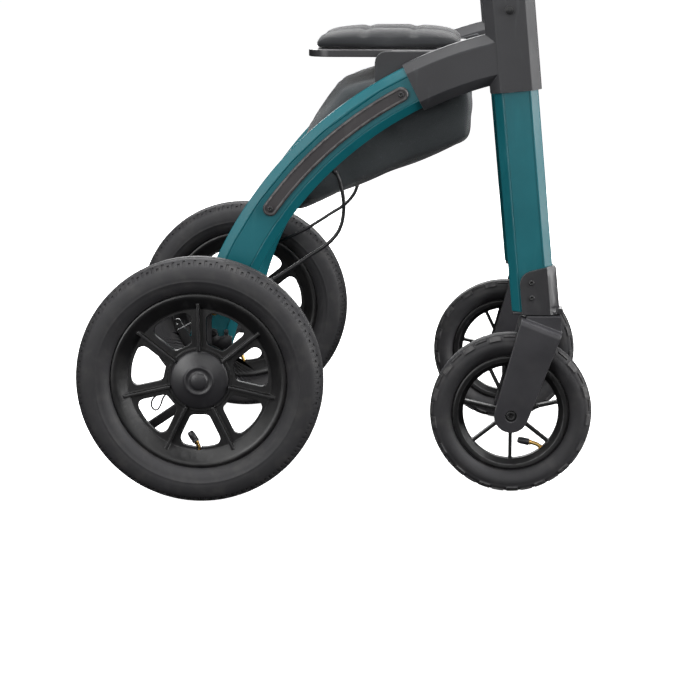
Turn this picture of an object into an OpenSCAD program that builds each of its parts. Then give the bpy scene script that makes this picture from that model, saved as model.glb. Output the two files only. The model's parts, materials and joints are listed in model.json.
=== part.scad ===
// Four-wheeled walking frame with arched side frames, drum brakes and a seat that folds it sideways.
// Millimetres, +X is the way it travels, +Y its left, +Z up, the floor is Z = 0.
// The left side is drawn on +Y and mirrored for the right side.

/* [Layout] */
// Rear axle to front axle
wheel_base = 396; // [340:1:460]
// Between the middle planes of the rear wheels
rear_track = 570; // [520:1:640]
// Between the middle planes of the two side frames
frame_track = 431; // [390:1:500]
// Front axle behind the swivel axis
castor_trail = 35; // [20:1:50]

/* [Rear wheel] */
// Rear tyre diameter
rear_d = 315; // [280:1:340]
// Rear tyre width
rear_w = 56; // [46:1:60]
// Rim flange diameter
rear_flange_d = 224; // [200:1:236]
// Outer diameter of the windows between the spokes
window_out_d = 176; // [160:1:186]
// Inner diameter of the windows
window_in_d = 92; // [84:1:110]
// Number of spokes
spokes = 7; // [5:1:9]
// Width of a spoke's flat web
spoke_w = 19; // [12:1:26]
// Width of the rib along a spoke
rib_w = 4; // [2:0.5:6]
// How far the rib stands proud of the web
rib_h = 8; // [4:0.5:12]
// Brake drum shell diameter
drum_d = 82; // [76:1:86]
// Hub cap diameter
cap_d = 75; // [60:1:78]
// Rear axle diameter
rear_axle_d = 12; // [10:1:14]

/* [Front wheel] */
// Front tyre diameter
front_d = 209; // [180:1:230]
// Front tyre width
front_w = 36; // [30:1:40]
// Front rim flange diameter
front_flange_d = 150; // [130:1:164]
// Clear opening inside the front rim
front_open_d = 122; // [110:1:130]
// Width of a front spoke
front_spoke_w = 4.5; // [3:0.5:8]
// Front axle diameter
front_axle_d = 8; // [6:1:10]

/* [Castor] */
// Gap between the fork blades
fork_gap = 44; // [42:1:60]
// Thickness of a fork blade
blade_t = 9; // [6:0.5:12]
// Radius of the blade's lower end
blade_end_r = 22; // [16:1:28]
// Swivel stem diameter
stem_d = 10; // [8:1:10]

/* [Frame] */
// Profile width, seen from the side
tube_w = 56; // [46:1:60]
// Profile thickness, seen from the front
tube_t = 31; // [29:1:38]
// Width of the flat face on each side of the profile
face_w = 36; // [24:1:44]
// Thickness of the profile's narrow edge
edge_t = 13; // [10:1:18]
// Wall of the profile
wall = 2.5; // [2:0.1:3]
// Radius of the rear leg's arch
arch_r = 490; // [450:5:540]
// Angle of the arch from upright where it reaches the rear axle
arch_foot = 81.2; // [79:0.1:84]
// Lean of the front upright
lean = 5.5; // [3:0.1:9]
// Lower end of the front upright above the floor
foot_z = 238; // [234:1:250]

/* [Handle] */
// Handle tube diameter
handle_d = 25; // [22:0.5:25]
// Wall of the handle tube
handle_wall = 2; // [1.5:0.1:3]
// Handle tube above the collar in the lowest position
handle_free = 160; // [150:1:220]
// How far the handle slides up
handle_travel = 120; // [60:1:140]
// Radius of the handle's bend
bend_r = 55; // [45:1:70]
// Grip diameter
grip_d = 34; // [31:1:38]
// Grip length
grip_len = 125; // [110:1:140]
// How much the grip rises to the rear, in degrees
grip_rise = 4; // [0:1:8]
// Brake lever below the grip's axis
lever_drop = 56; // [50:1:64]

/* [Seat] */
// Height of the seat's hinge axes
hinge_z = 556; // [540:1:565]
// Hinge axes inside the middle planes of the side frames
hinge_in = 37.5; // [36:0.5:45]
// Rear edge of the seat, ahead of the rear axle
seat_back = 130; // [100:1:150]
// Front edge of the seat, ahead of the rear axle
seat_front = 335; // [325:1:338]
// Thickness of a seat panel
panel_t = 9; // [6:0.5:10]
// Thickness of a seat cushion
cushion_t = 26; // [18:1:28]

/* [Brace] */
// Height of the folding brace's hinge axes
brace_z = 450; // [440:1:460]
// Width of the brace bar
brace_w = 22; // [18:1:26]

/* [Fits] */
// Gap between pieces that are fixed together
fit = 0.15; // [0.1:0.05:0.3]
// Radial gap of a pin or shaft that turns
run = 0.06; // [0.02:0.01:0.1]
// Gap between pieces that move past each other
gap = 0.5; // [0.3:0.1:1]

/* [Hidden] */
$fn = 64;
rear_r = rear_d / 2;
front_r = front_d / 2;
rear_y = rear_track / 2;
frame_y = frame_track / 2;
swivel_x = wheel_base + castor_trail;
mid_x = (wheel_base + front_r - rear_r) / 2;
hinge_y = frame_y - hinge_in;
inner_y = frame_y - tube_t / 2;
outer_y = frame_y + tube_t / 2;
// Arch: centre, and where it stops at each end, as angles from upright
arch_c = [arch_r * sin(arch_foot), rear_r - arch_r * cos(arch_foot)];
leg_low = arch_foot - 4.5;
// Upright: foot, direction and the length up to the arch's middle line
stem_off = 7.1;
up_foot = [swivel_x - stem_off, foot_z];
up_dir = [-sin(lean), cos(lean)];
up_b = (up_foot - arch_c) * up_dir;
up_c = (up_foot - arch_c) * (up_foot - arch_c) - arch_r * arch_r;
join_u = -up_b + sqrt(up_b * up_b - up_c);
// Upper end of the leg, a little behind the upright, and the mouth of its socket
join_a = asin((arch_c[0] - up_foot[0] + join_u * sin(lean)) / arch_r);
leg_short = 14;
socket_len = 90;
leg_high = join_a + (tube_w / 2 + leg_short) / arch_r * 180 / PI;
socket_low = leg_high + socket_len / arch_r * 180 / PI;
sleeve_low = 46;
sleeve_high = 70;
collar_h = 12;
// Castor housing and crown heights
house_low = foot_z - 3.5;
house_high = foot_z + 55;
house_grow = 4.6;
house_t = tube_t + 2 * house_grow;
crown_top = house_low - 1;
// Bearings
head_brg = [stem_d, 19, 5];
rear_brg = [rear_axle_d, 24, 6];
front_brg = [front_axle_d, 22, 7];
// Screws: head radius, head height, shank radius, shank length
screw = [3.6, 2, 2, 9];
// Turns of the round-cornered outlines
steps = 4;

// Rounded outline of a polygon, one radius for each corner or one for all
function unit(v) = v / norm(v);
function corner(a, b, c, r) =
    let(u = unit(a - b), w = unit(c - b), h = acos(u * w) / 2, o = b + unit(u + w) * r / sin(h),
        p = b + u * r / tan(h), q = b + w * r / tan(h),
        s = atan2(p[1] - o[1], p[0] - o[0]), e = atan2(q[1] - o[1], q[0] - o[0]),
        d = (e - s + 540) % 360 - 180)
    [for (i = [0:steps]) o + r * [cos(s + d * i / steps), sin(s + d * i / steps)]];
function rounded(p, r) =
    let(n = len(p))
    [for (i = [0:n - 1])
        each corner(p[(i + n - 1) % n], p[i], p[(i + 1) % n], is_list(r) ? r[i] : r)];
// Point where a line from p touches a circle, on side s
function touch(c, r, p, s) =
    let(d = p - c, a = atan2(d[1], d[0]) + s * acos(r / norm(d)))
    c + r * [cos(a), sin(a)];
// Point on the arch at an angle from upright and a distance from its middle line
function arch_at(a, off) = arch_c + (arch_r + off) * [-sin(a), cos(a)];
// Middle of the upright at a height
function upright_x(z) = up_foot[0] - (z - up_foot[1]) * tan(lean);
// Mirrors one half of a wheel profile, given from the crown inwards
function both(h) = concat(h, [for (i = [len(h) - 1:-1:0]) [h[i][0], -h[i][1]]]);

// Left side as drawn, right side mirrored; the middle of the length goes to X = 0
module put(side)
    translate([-mid_x, 0, 0])
        if (side > 0) children(); else mirror([0, 1, 0]) children();

module rear_hub() translate([0, rear_y, rear_r]) rotate([-90, 0, 0]) children();
module front_hub() translate([wheel_base, frame_y, front_r]) rotate([-90, 0, 0]) children();
module upright_line() translate([up_foot[0], frame_y, up_foot[1]]) rotate([0, -lean, 0]) children();
module side_plate(y, t) translate([0, y + t, 0]) rotate([90, 0, 0]) linear_extrude(t) children();
module across(x, z, r, y0, y1) translate([x, y0, z]) rotate([-90, 0, 0]) cylinder(r = r, h = y1 - y0);
module along(y, z, r, x0, x1) translate([x0, y, z]) rotate([0, 90, 0]) cylinder(r = r, h = x1 - x0);
module ring(r_out, r_in, h) difference() {
    cylinder(r = r_out, h = h);
    translate([0, 0, -1]) cylinder(r = r_in, h = h + 2);
}

// Frame profile: flat faces, sloping shoulders and narrow edges, grown by g
module profile(g) {
    w = tube_w / 2 + g;
    t = tube_t / 2 + g;
    f = face_w / 2 + g * 0.4;
    e = edge_t / 2 + g * 0.5;
    polygon([[w, e], [f, t], [-f, t], [-w, e], [-w, -e], [-f, -t], [f, -t], [w, -e]]);
}
module soft_profile(g) {
    w = tube_w / 2 + g;
    t = tube_t / 2 + g;
    f = face_w / 2 + g * 0.4;
    e = edge_t / 2 + g * 0.5;
    polygon(rounded([[w, e], [f, t], [-f, t], [-w, e], [-w, -e], [-f, -t], [f, -t], [w, -e]], 3));
}
// Piece of the arch between two angles from upright
module arch(a0, a1)
    translate([arch_c[0], frame_y, arch_c[1]]) rotate([90, 0, 0]) rotate([0, 0, 90 + a0])
        rotate_extrude(angle = a1 - a0, $fn = 96) translate([arch_r, 0]) children();

// A closed skin over rings with the same number of points
module skin(rings) {
    n = len(rings[0]);
    m = len(rings);
    sides = [for (k = [0:m - 2]) for (i = [0:n - 1])
        let(j = (i + 1) % n, a = k * n + i, b = k * n + j) each [[a, b, b + n], [a, b + n, a + n]]];
    ends = [[for (i = [n - 1:-1:0]) i], [for (i = [0:n - 1]) (m - 1) * n + i]];
    polyhedron(points = [for (r = rings) each r], faces = concat(sides, ends));
}
// Rings of radius r round a path
function path_rings(p, r, n) = [for (k = [0:len(p) - 1])
    let(t = unit(p[min(k + 1, len(p) - 1)] - p[max(k - 1, 0)]), a = unit(cross(t, [0, 1, 0.2])), b = cross(t, a))
    [for (i = [0:n - 1]) p[k] + r * (a * cos(360 * i / n) - b * sin(360 * i / n))]];

// Screws of the side frame: place on the outer face, and depth of the piece under the head
strip_low = 54.2;
strip_high = socket_low + 2;
house_screws = [[swivel_x - 11.3, foot_z + 38.5], [swivel_x - 10.4, foot_z + 19]];
strip_screws = [arch_at(strip_low, 0), arch_at(strip_high, 0)];
gusset_screws = [arch_at(socket_low + 3.5, 0), arch_at(socket_low - 3, 0)];
strip_t = 5;
strip_w = 19;
gusset_t = 4.6;
gusset_y = inner_y - 0.4 - gusset_t;
module screw_at(p, y) {
    across(p[0], p[1], screw[0], y, y + screw[1]);
    across(p[0], p[1], screw[2], y - screw[3], y);
}
module screw_holes() {
    for (p = house_screws) across(p[0], p[1], screw[2] + fit, frame_y + 8, frame_y + house_t);
    for (p = strip_screws) across(p[0], p[1], screw[2] + fit, frame_y, outer_y + 2 * strip_t);
    for (p = gusset_screws) across(p[0], p[1], screw[2] + fit, inner_y - 2 * gusset_t, frame_y);
}

// Rear leg: arched profile from the axle block to the junction, with a cable hole in its inner edge
cable_a = 43.6;
cable_hole_r = 4.2;
cable_y = frame_y - 3.5;
module rear_leg() color("teal") difference() {
    arch(leg_high, leg_low) soft_profile(0);
    arch(leg_high - 1, leg_low + 1) profile(-wall);
    screw_holes();
    translate([arch_at(cable_a, 0)[0], cable_y, arch_at(cable_a, 0)[1]]) rotate([0, 180 - cable_a, 0])
        cylinder(r = cable_hole_r, h = tube_w);
}

// Front upright: straight profile with the brace's lugs and pin on its inner face
brace_x = upright_x(brace_z);
brace_pin_r = 4;
lug_t = 6.5;
lug_r = 9;
module front_upright() color("teal") {
    difference() {
        upright_line() translate([0, 0, -tube_w / 2]) linear_extrude(join_u + sleeve_high + tube_w / 2)
            soft_profile(0);
        upright_line() translate([0, 0, -tube_w]) linear_extrude(join_u + 2 * tube_w + sleeve_high)
            profile(-wall);
        translate([0, 0, foot_z - 2 * tube_w]) cube([4 * wheel_base, 2 * frame_track, 4 * tube_w], true);
        screw_holes();
    }
    for (s = [-1, 1]) translate([brace_x + s * (brace_w / 2 + 1.5 + lug_t / 2), 0, 0]) {
        along(hinge_y, brace_z, lug_r, -lug_t / 2, lug_t / 2);
        translate([-lug_t / 2, hinge_y, brace_z - lug_r]) cube([lug_t, inner_y + wall - gap - hinge_y, 2 * lug_r]);
    }
    along(hinge_y, brace_z, brace_pin_r, brace_x - brace_w / 2 - 3, brace_x + brace_w / 2 + 3);
}

// Junction: sleeve on the upright, socket for the arch, collar for the handle, plate and rod for the seat
seat_lug = [228, 318];
seat_lug_w = 10;
seat_rod_r = 4;
seat_lug_r = 8;
sleeve_grow = 4.5;
socket_grow = 3.8;
module gusset_outline()
    polygon(rounded([[218, 489], [345, 537], [356, 573], [330, hinge_z + 10], [218, hinge_z + 10]], [14, 4, 4, 8, 14]));
module frame_junction() color("dimgray") difference() {
    union() {
        upright_line() translate([0, 0, join_u - sleeve_low])
            linear_extrude(sleeve_low + sleeve_high + collar_h) soft_profile(sleeve_grow);
        arch(leg_high - 7, socket_low) soft_profile(socket_grow);
        side_plate(gusset_y, gusset_t) gusset_outline();
        for (x = seat_lug) {
            along(hinge_y, hinge_z, seat_lug_r, x, x + seat_lug_w);
            translate([x, hinge_y, hinge_z - seat_lug_r + 0.5])
                cube([seat_lug_w, inner_y - fit - 1 - hinge_y, 2 * seat_lug_r - 1]);
        }
        along(hinge_y, hinge_z, seat_rod_r, seat_lug[0] + 1, seat_lug[1] + seat_lug_w - 1);
    }
    arch(leg_high, socket_low + 2) soft_profile(fit);
    upright_line() linear_extrude(join_u + sleeve_high + fit) soft_profile(fit);
    upright_line() cylinder(r = handle_d / 2 + run, h = 2 * join_u);
    screw_holes();
}

// Strip along the outer face of the leg
module leg_strip() color("darkslategray") difference() {
    union() {
        arch(strip_high, strip_low) translate([-strip_w / 2, -strip_t - tube_t / 2 - fit]) square([strip_w, strip_t]);
        for (p = strip_screws) across(p[0], p[1], strip_w / 2 + 0.5, outer_y + 3 * fit, outer_y + strip_t + 3 * fit);
    }
    screw_holes();
}

// Castor housing: sleeve round the upright's lower front with a rim at its foot, a plug inside it and a bore for the stem
plug_high = house_high - 9;
house_front = tube_w / 2 + house_grow + gap;
house_side = rounded([[-15.4, -2 * house_grow], [house_front, -2 * house_grow], [house_front, 57.1], [22.5, 57.1], [-15.4, 51.2]],
    [1, 1, 7, 4, 17]);
house_rim_w = tube_t - 4;
module castor_housing() color("black") difference() {
    union() {
        intersection() {
            difference() {
                upright_line() translate([0, 0, -tube_w / 2]) linear_extrude(2 * tube_w) soft_profile(house_grow);
                upright_line() translate([0, 0, -tube_w]) linear_extrude(3 * tube_w) soft_profile(fit);
            }
            upright_line() side_plate(-house_t, 2 * house_t) polygon(house_side);
            translate([swivel_x, frame_y, house_low + house_t]) cube(2 * house_t, true);
        }
        side_plate(frame_y - house_rim_w / 2, house_rim_w)
            polygon(rounded([[swivel_x + 22, house_low + 0.4], [swivel_x + 30, house_low + 0.4], [swivel_x + 30, house_low + 8],
                [swivel_x + 22, house_low + 8]], [1, 1, 3, 1]));
        side_plate(frame_y - tube_t / 2 - 1, tube_t + 2)
            polygon([[up_foot[0] - tube_w / 2 + 1, house_low], [up_foot[0] + tube_w / 2 + 1, house_low],
                [up_foot[0] + tube_w / 2 + 1, foot_z - fit], [up_foot[0] - tube_w / 2 + 1, foot_z - fit]]);
        intersection() {
            upright_line() translate([0, 0, -tube_w / 2]) linear_extrude(2 * tube_w) profile(-wall - fit);
            translate([swivel_x - tube_w, frame_y - tube_t, house_low + 0.5])
                cube([2 * tube_w, 2 * tube_t, plug_high - house_low]);
        }
    }
    translate([swivel_x, frame_y, 0]) {
        cylinder(r = stem_d / 2 + 1.5, h = house_high);
        translate([0, 0, house_low - 1]) cylinder(r = head_brg[1] / 2 + fit, h = head_brg[2] + 1.5);
        translate([0, 0, plug_high - head_brg[2] - 0.5]) cylinder(r = head_brg[1] / 2 + fit, h = tube_w);
    }
    screw_holes();
}
module head_bearings() color("silver") translate([swivel_x, frame_y, 0])
    for (z = [house_low + 0.4, plug_high - head_brg[2] - 0.4])
        translate([0, 0, z]) ring(head_brg[1] / 2, stem_d / 2 + run, head_brg[2]);

// Screws and the handle's button
button_r = 6;
module frame_screws() color("silver") {
    for (p = house_screws) screw_at(p, frame_y + house_t / 2 + fit);
    for (p = strip_screws) screw_at(p, outer_y + strip_t + 4 * fit);
    mirror([0, 1, 0]) for (p = gusset_screws) screw_at(p, -(gusset_y - fit));
    upright_line() translate([0, tube_t / 2 + sleeve_grow + fit, join_u + sleeve_high - 14]) rotate([-90, 0, 0])
        cylinder(r = button_r, h = 3);
}

// Axle block: plug under the leg, boss for the axle and the foot lever for kerbs
boss_r = 25;
kerb_tip = [-112, rear_r - 102];
kerb_root = [9, rear_r - 19.5];
kerb_h = 11;
kerb_t = 13;
module axle_block() color("black") difference() {
    union() {
        arch(leg_low + 0.05, arch_foot) soft_profile(0);
        arch(leg_low - 6, arch_foot) profile(-wall - fit);
        across(0, rear_r, boss_r, inner_y, outer_y);
        side_plate(frame_y + 1, kerb_t) kerb_outline();
    }
    across(0, rear_r, rear_axle_d / 2 + fit, 0, rear_track);
}
module kerb_outline() {
    d = unit(kerb_tip - kerb_root);
    n = [-d[1], d[0]] * kerb_h / 2;
    e = d * kerb_h / 2;
    polygon(rounded([kerb_root + n, kerb_tip + n + e, kerb_tip - n + e, kerb_root - n], [1, 5, 5, 1]));
}

// Rear axle with its head on the inside and its nut under the hub cap
axle_head_r = 10;
axle_head_h = 6;
nut_r = 9;
nut_h = 5.5;
hub_face = 4;
module rear_axle() color("silver") {
    across(0, rear_r, rear_axle_d / 2, inner_y - fit - 1, rear_y + hub_face + gap + nut_h - 1);
    across(0, rear_r, axle_head_r, inner_y - fit - axle_head_h, inner_y - fit);
    across(0, rear_r, nut_r, rear_y + hub_face + gap, rear_y + hub_face + gap + nut_h);
}

// Brake plate: disc that closes the drum, boss against the axle block, cam spindle and cable stop
drum_low = rear_y - 31;
plate_t = 5;
plate_y = drum_low - gap - 1 - plate_t;
cam = [-15, rear_r + 31.5];
cam_r = 4;
stop_x = 6;
stop_z = rear_r + 76;
cable_end_y = plate_y - 2;
stop_w = 12;
stop_d = 9;
module brake_plate() color("dimgray") difference() {
    union() {
        across(0, rear_r, drum_d / 2 - 3, plate_y, plate_y + plate_t);
        across(0, rear_r, boss_r - 8, outer_y + fit, plate_y + 1);
        across(cam[0], cam[1], cam_r, plate_y - 11, plate_y + 1);
        across(cam[0], cam[1], cam_r + 3, plate_y - 3, plate_y + 1);
        translate([stop_x - stop_w / 2, plate_y, rear_r]) cube([stop_w, plate_t - 1.5, stop_z + stop_w / 2 - rear_r]);
        translate([stop_x - stop_w / 2, plate_y - stop_d + 2, stop_z - stop_w / 2]) cube([stop_w, stop_d, stop_w]);
    }
    across(0, rear_r, rear_axle_d / 2 + fit, 0, rear_track);
    stop_line() cylinder(r = adjust_r + fit, h = 4 * stop_w, center = true);
}
cable_in = [70, 36];
module stop_line() translate([stop_x, cable_end_y, stop_z]) rotate([0, 90 - atan2(cable_in[1], cable_in[0]), 0]) children();

// Brake arm on the cam spindle, its end beside the inner wire
arm_tip = [-33, rear_r + 65];
arm_t = 5;
arm_hub_r = 8;
arm_end_r = 5;
arm_y = plate_y - 3 - gap - arm_t;
module brake_arm() color("gray") difference() {
    d = unit(arm_tip - cam);
    n = [-d[1], d[0]] * 0.9;
    union() {
        across(cam[0], cam[1], arm_hub_r, arm_y, arm_y + arm_t);
        across(arm_tip[0], arm_tip[1], arm_end_r, arm_y, arm_y + arm_t);
        side_plate(arm_y, arm_t)
            polygon([cam + n * arm_hub_r, arm_tip + n * arm_end_r, arm_tip - n * arm_end_r, cam - n * arm_hub_r]);
    }
    across(cam[0], cam[1], cam_r + run, 0, rear_track);
    across(arm_tip[0], arm_tip[1], 2, 0, rear_track);
}

// Brake cable: out of the leg's inner edge, down ahead of it and back to the brake's adjuster
cable_r = 2.5;
adjust_r = 3.4;
wire_r = 0.8;
cable_start = arch_at(cable_a, -tube_w / 2 + 7);
cable_exit = arch_at(cable_a, -tube_w / 2 - 2);
cable_path = [[cable_start[0], cable_y, cable_start[1]], [cable_exit[0], cable_y, cable_exit[1]],
    [171.5, cable_y, 409], [175.5, cable_y - 1, 397], [178.5, cable_y - 2, 381], [179, cable_y - 4, 364], [174.5, cable_y - 5, 342],
    [166, cable_y - 6, 328.5], [154, cable_y - 6, 317.5], [139, cable_y - 5, 308], [118, cable_y - 1, 294], [94, cable_y + 6, 279],
    [70, cable_y + 17, stop_z + 33], [48, cable_end_y - 3, stop_z + 21.8], [24, cable_end_y, stop_z + 9.26]];
module brake_cable() color("black") {
    skin(path_rings(cable_path, cable_r, 10));
    stop_line() translate([0, 0, -11]) cylinder(r = adjust_r, h = 30.9);
    stop_line() translate([0, 0, stop_w / 2 + 2]) cylinder(r = adjust_r + 2, h = 5);
    stop_line() translate([0, 0, -44]) cylinder(r = wire_r, h = 40);
}

// Rear tyre, half profile from the crown round the sidewall to the bead and back inside
bead_h = 10.5;
bead_r = rear_flange_d / 2 - bead_h;
// Depths are shares of the section from the crown to the rim's flange, widths shares of half the tyre
rear_section = [[0, 0.14], [0.031, 0.18], [0.031, 0.25], [0.009, 0.29], [0.031, 0.5], [0.066, 0.66], [0.132, 0.8],
    [0.22, 0.907], [0.374, 0.982], [0.55, 1], [0.725, 0.943], [0.88, 0.786], [0.967, 0.6]];
rear_inside = [[0.9, 0.5], [0.725, 0.732], [0.55, 0.804], [0.374, 0.786], [0.242, 0.714], [0.165, 0.536], [0.132, 0.25]];
function section(list, r, flange, w) = [for (p = list) [r - p[0] * (r - flange), p[1] * w / 2]];
function bead(r, h) = [[r + h + 0.3, 1.14 * h], [r + 2.2, h + 0.1], [r + 0.4, h - 1.9], [r + 0.4, h / 2], [r + 0.86 * h, 0.57 * h]];
module rear_tyre() color("dimgray") rear_hub() rotate_extrude($fn = 96)
    polygon(both(concat(section(rear_section, rear_r, rear_flange_d / 2, rear_w), bead(bead_r, bead_h),
        section(rear_inside, rear_r, rear_flange_d / 2, rear_w))));

// Rear rim: dished barrel, web with windows, ribs and the brake drum
web_t = 7;
brg_low = hub_face - 2 * rear_brg[2] - 2;
barrel_half = [[rear_flange_d / 2, 15], [rear_flange_d / 2, 12.3], [bead_r + 1.5, 11], [bead_r, 9]];
barrel_in_half = [[rear_flange_d / 2 - 3.5, 16], [rear_flange_d / 2 - 8, 14.5], [window_out_d / 2 + 3.5, 4.6]];
valve_a = 91;
function window() =
    let(ri = window_in_d / 2, ro = window_out_d / 2, h = spoke_w / 2, a = 180 / spokes,
        d = [cos(a), sin(a)], e = [cos(a), -sin(a)], n = [sin(a), -cos(a)] * h, m = [sin(a), cos(a)] * h)
    rounded([d * ri + n, d * ro + n, [ro + 1, 0], e * ro + m, e * ri + m], [7, 9, 60, 9, 7]);
module rear_rim() color("black") rear_hub() difference() {
    union() {
        rotate_extrude($fn = 96)
            polygon(concat(both(barrel_half), [for (p = barrel_in_half) [p[0], -p[1]]],
                [for (i = [2:-1:0]) barrel_in_half[i]]));
        translate([0, 0, -web_t / 2]) linear_extrude(web_t) difference() {
            circle(r = window_out_d / 2 + 5, $fn = 96);
            for (i = [0:spokes - 1]) rotate(-90 + (i + 0.5) * 360 / spokes) polygon(window());
        }
        for (i = [0:spokes - 1]) rotate(-90 + i * 360 / spokes)
            translate([cap_d / 2 + 0.6, -rib_w / 2, 0]) cube([window_out_d / 2 - cap_d / 2 + 10, rib_w, web_t / 2 + rib_h]);
        translate([0, 0, drum_low - rear_y]) cylinder(r = drum_d / 2, h = hub_face + rear_y - drum_low);
    }
    translate([0, 0, drum_low - rear_y - 1]) cylinder(r = drum_d / 2 - 6, h = 18);
    translate([0, 0, brg_low]) cylinder(r = rear_brg[1] / 2 + fit, h = hub_face - brg_low + 1);
    translate([0, 0, -2 * web_t]) cylinder(r = rear_axle_d / 2 + 3, h = 4 * web_t);
    rotate([90, 0, valve_a + 90]) translate([0, 0, window_out_d / 2 - 6]) cylinder(r = valve_r + 0.4, h = rear_r);
}
module hub_cap() color("black") rear_hub() rotate_extrude($fn = 96) {
    c = cap_d / 2;
    z = hub_face + fit;
    polygon([[c, z], [c, z + 2], [c - 3, z + 4], [19, z + 8.6], [18, z + 9.6], [15.5, z + 9.6], [14.5, z + 9],
        [11.5, z + 9.2], [10.5, z + 10.6], [7, z + 11.8], [0, z + 12.4], [0, z + 9.6], [9, z + 7.6], [18, z + 6],
        [c - 5, z + 1.6], [c - 5, z]]);
}
module rear_bearings() color("silver") rear_hub()
    for (z = [hub_face - rear_brg[2] - 0.1, brg_low + 0.1])
        translate([0, 0, z]) ring(rear_brg[1] / 2, rear_axle_d / 2 + run, rear_brg[2]);

// Valve: foot inside the tyre, stem through the rim, bent neck and cap
valve_r = 3.6;
neck_r = 2.8;
valve_cap_r = 4.8;
valve_cap_l = 15;
valve_foot_r = 5;
valve_core_r = 2.6;
module valve(seat_r, elbow_r, foot, tilt, neck_l) {
    translate([0, 0, elbow_r]) cylinder(r = valve_r, h = seat_r - elbow_r - 1);
    translate([0, 0, elbow_r]) cylinder(r = valve_core_r, h = seat_r - elbow_r + 1 + foot);
    translate([0, 0, seat_r + foot]) cylinder(r = valve_foot_r, h = 2);
    translate([0, 0, elbow_r]) sphere(r = valve_r, $fn = 32);
    translate([0, 0, elbow_r]) rotate([0, 180 - tilt, 0]) {
        cylinder(r = neck_r, h = neck_l);
        translate([0, 0, neck_l - 2]) cylinder(r = valve_cap_r, h = valve_cap_l);
    }
}
module rear_valve() color("goldenrod") rear_hub() rotate([90, 0, valve_a + 90]) valve(bead_r, window_out_d / 2, 14, 33, 10);

// Castor fork: two blades from the axle to a yoke over the wheel, gusseted crown and stem
blade_back = [swivel_x - 23, crown_top - 1.5];
blade_front = [swivel_x + 29, crown_top - 21.5];
axle_p = [wheel_base, front_r];
yoke_clear = 7;
fork_w = fork_gap + 2 * blade_t;
shoulder_r = 9;
crown_w = 42;
stem_nut_r = 8;
axle_bolt_r = 7;
axle_bolt_h = 4;
module blade_outline() {
    tb = touch(axle_p, blade_end_r, blade_back, 1);
    tf = touch(axle_p, blade_end_r, blade_front, -1);
    arc0 = atan2(tb[1] - axle_p[1], tb[0] - axle_p[0]);
    arc1 = atan2(tf[1] - axle_p[1], tf[0] - axle_p[0]) + 360;
    polygon(concat([blade_front, blade_back],
        [for (i = [0:12]) axle_p + blade_end_r * [cos(arc0 + (arc1 - arc0) * i / 12), sin(arc0 + (arc1 - arc0) * i / 12)]]));
}
module castor_fork() color("black") difference() {
    union() {
        intersection() {
            side_plate(frame_y - fork_w / 2, fork_w) blade_outline();
            yoke_section();
        }
        side_plate(frame_y - crown_w / 2, crown_w)
            polygon(rounded([[swivel_x - 17, crown_top], [swivel_x + 28, crown_top], [swivel_x + 28, crown_top - 23],
                blade_front - [5, 5], blade_back + [6, -9]], [1.5, 3, 1, 1, 1]));
        translate([swivel_x, frame_y, crown_top - 1]) cylinder(r = stem_d / 2, h = plug_high - crown_top + 6);
        translate([swivel_x, frame_y, plug_high + gap]) cylinder(r = stem_nut_r, h = 4.5);
    }
    across(wheel_base, front_r, front_r + yoke_clear, frame_y - fork_gap / 2, frame_y + fork_gap / 2);
    across(wheel_base, front_r, front_axle_d / 2 + fit, 0, frame_track);
    for (s = [-1, 1]) translate([0, frame_y + s * (fork_w / 2 - axle_bolt_h / 2 + gap), 0])
        across(wheel_base, front_r, axle_bolt_r + fit, -axle_bolt_h / 2 - gap, axle_bolt_h / 2 + gap);
}
// Front view of the fork along the shoulder: square sides with the upper edges rounded over
module yoke_section() {
    d = blade_front - blade_back;
    w = fork_w / 2;
    translate([blade_back[0], frame_y, blade_back[1]]) rotate([0, -atan2(d[1], d[0]), 0])
        translate([-front_d, 0, 0]) rotate([90, 0, 90]) linear_extrude(2 * front_d)
            polygon(rounded([[-w, -front_d], [w, -front_d], [w, 0], [-w, 0]], [1, 1, shoulder_r, shoulder_r]));
}
module front_axle() color("silver") {
    b = fork_w / 2 - axle_bolt_h;
    across(wheel_base, front_r, front_axle_d / 2, frame_y - b - 1, frame_y + b + 1);
    for (s = [-1, 1]) translate([0, frame_y + s * (b + axle_bolt_h / 2 + fit), 0]) difference() {
        across(wheel_base, front_r, axle_bolt_r, -axle_bolt_h / 2, axle_bolt_h / 2);
        translate([wheel_base, s * axle_bolt_h / 2, front_r]) rotate([90, 0, 0])
            cylinder(r = 3.2, h = axle_bolt_h, center = true, $fn = 6);
    }
    for (s = [-1, 1]) translate([wheel_base, frame_y + s * (fork_gap / 2 - 1.1), front_r]) rotate([90, 0, 0])
        cylinder(r = 6, h = 1.8, center = true);
}

// Front tyre and rim
front_bead_h = 9;
front_bead_r = front_flange_d / 2 - front_bead_h;
front_section = [[0, 0.139], [0.014, 0.333], [0.054, 0.556], [0.153, 0.806], [0.288, 0.944], [0.458, 1], [0.627, 0.961],
    [0.797, 0.822], [0.915, 0.644]];
front_inside = [[0.83, 0.5], [0.627, 0.694], [0.458, 0.733], [0.288, 0.683], [0.203, 0.528], [0.159, 0.222]];
function front_bead(r, h) = [[r + h + 0.4, 0.92 * h], [r + 1.9, 0.82 * h], [r + 0.4, 0.66 * h], [r + 0.4, h / 3], [r + 0.78 * h, 0.44 * h]];
module front_tyre() color("dimgray") front_hub() rotate_extrude($fn = 96)
    polygon(both(concat(section(front_section, front_r, front_flange_d / 2, front_w), front_bead(front_bead_r, front_bead_h),
        section(front_inside, front_r, front_flange_d / 2, front_w))));
front_hub_r = 15;
front_hub_half = fork_gap / 2 - 2.4;
front_barrel_half = [[front_flange_d / 2, 11], [front_flange_d / 2, 8.6], [front_bead_r + 1.2, 7.8], [front_bead_r, 6.5]];
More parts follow.
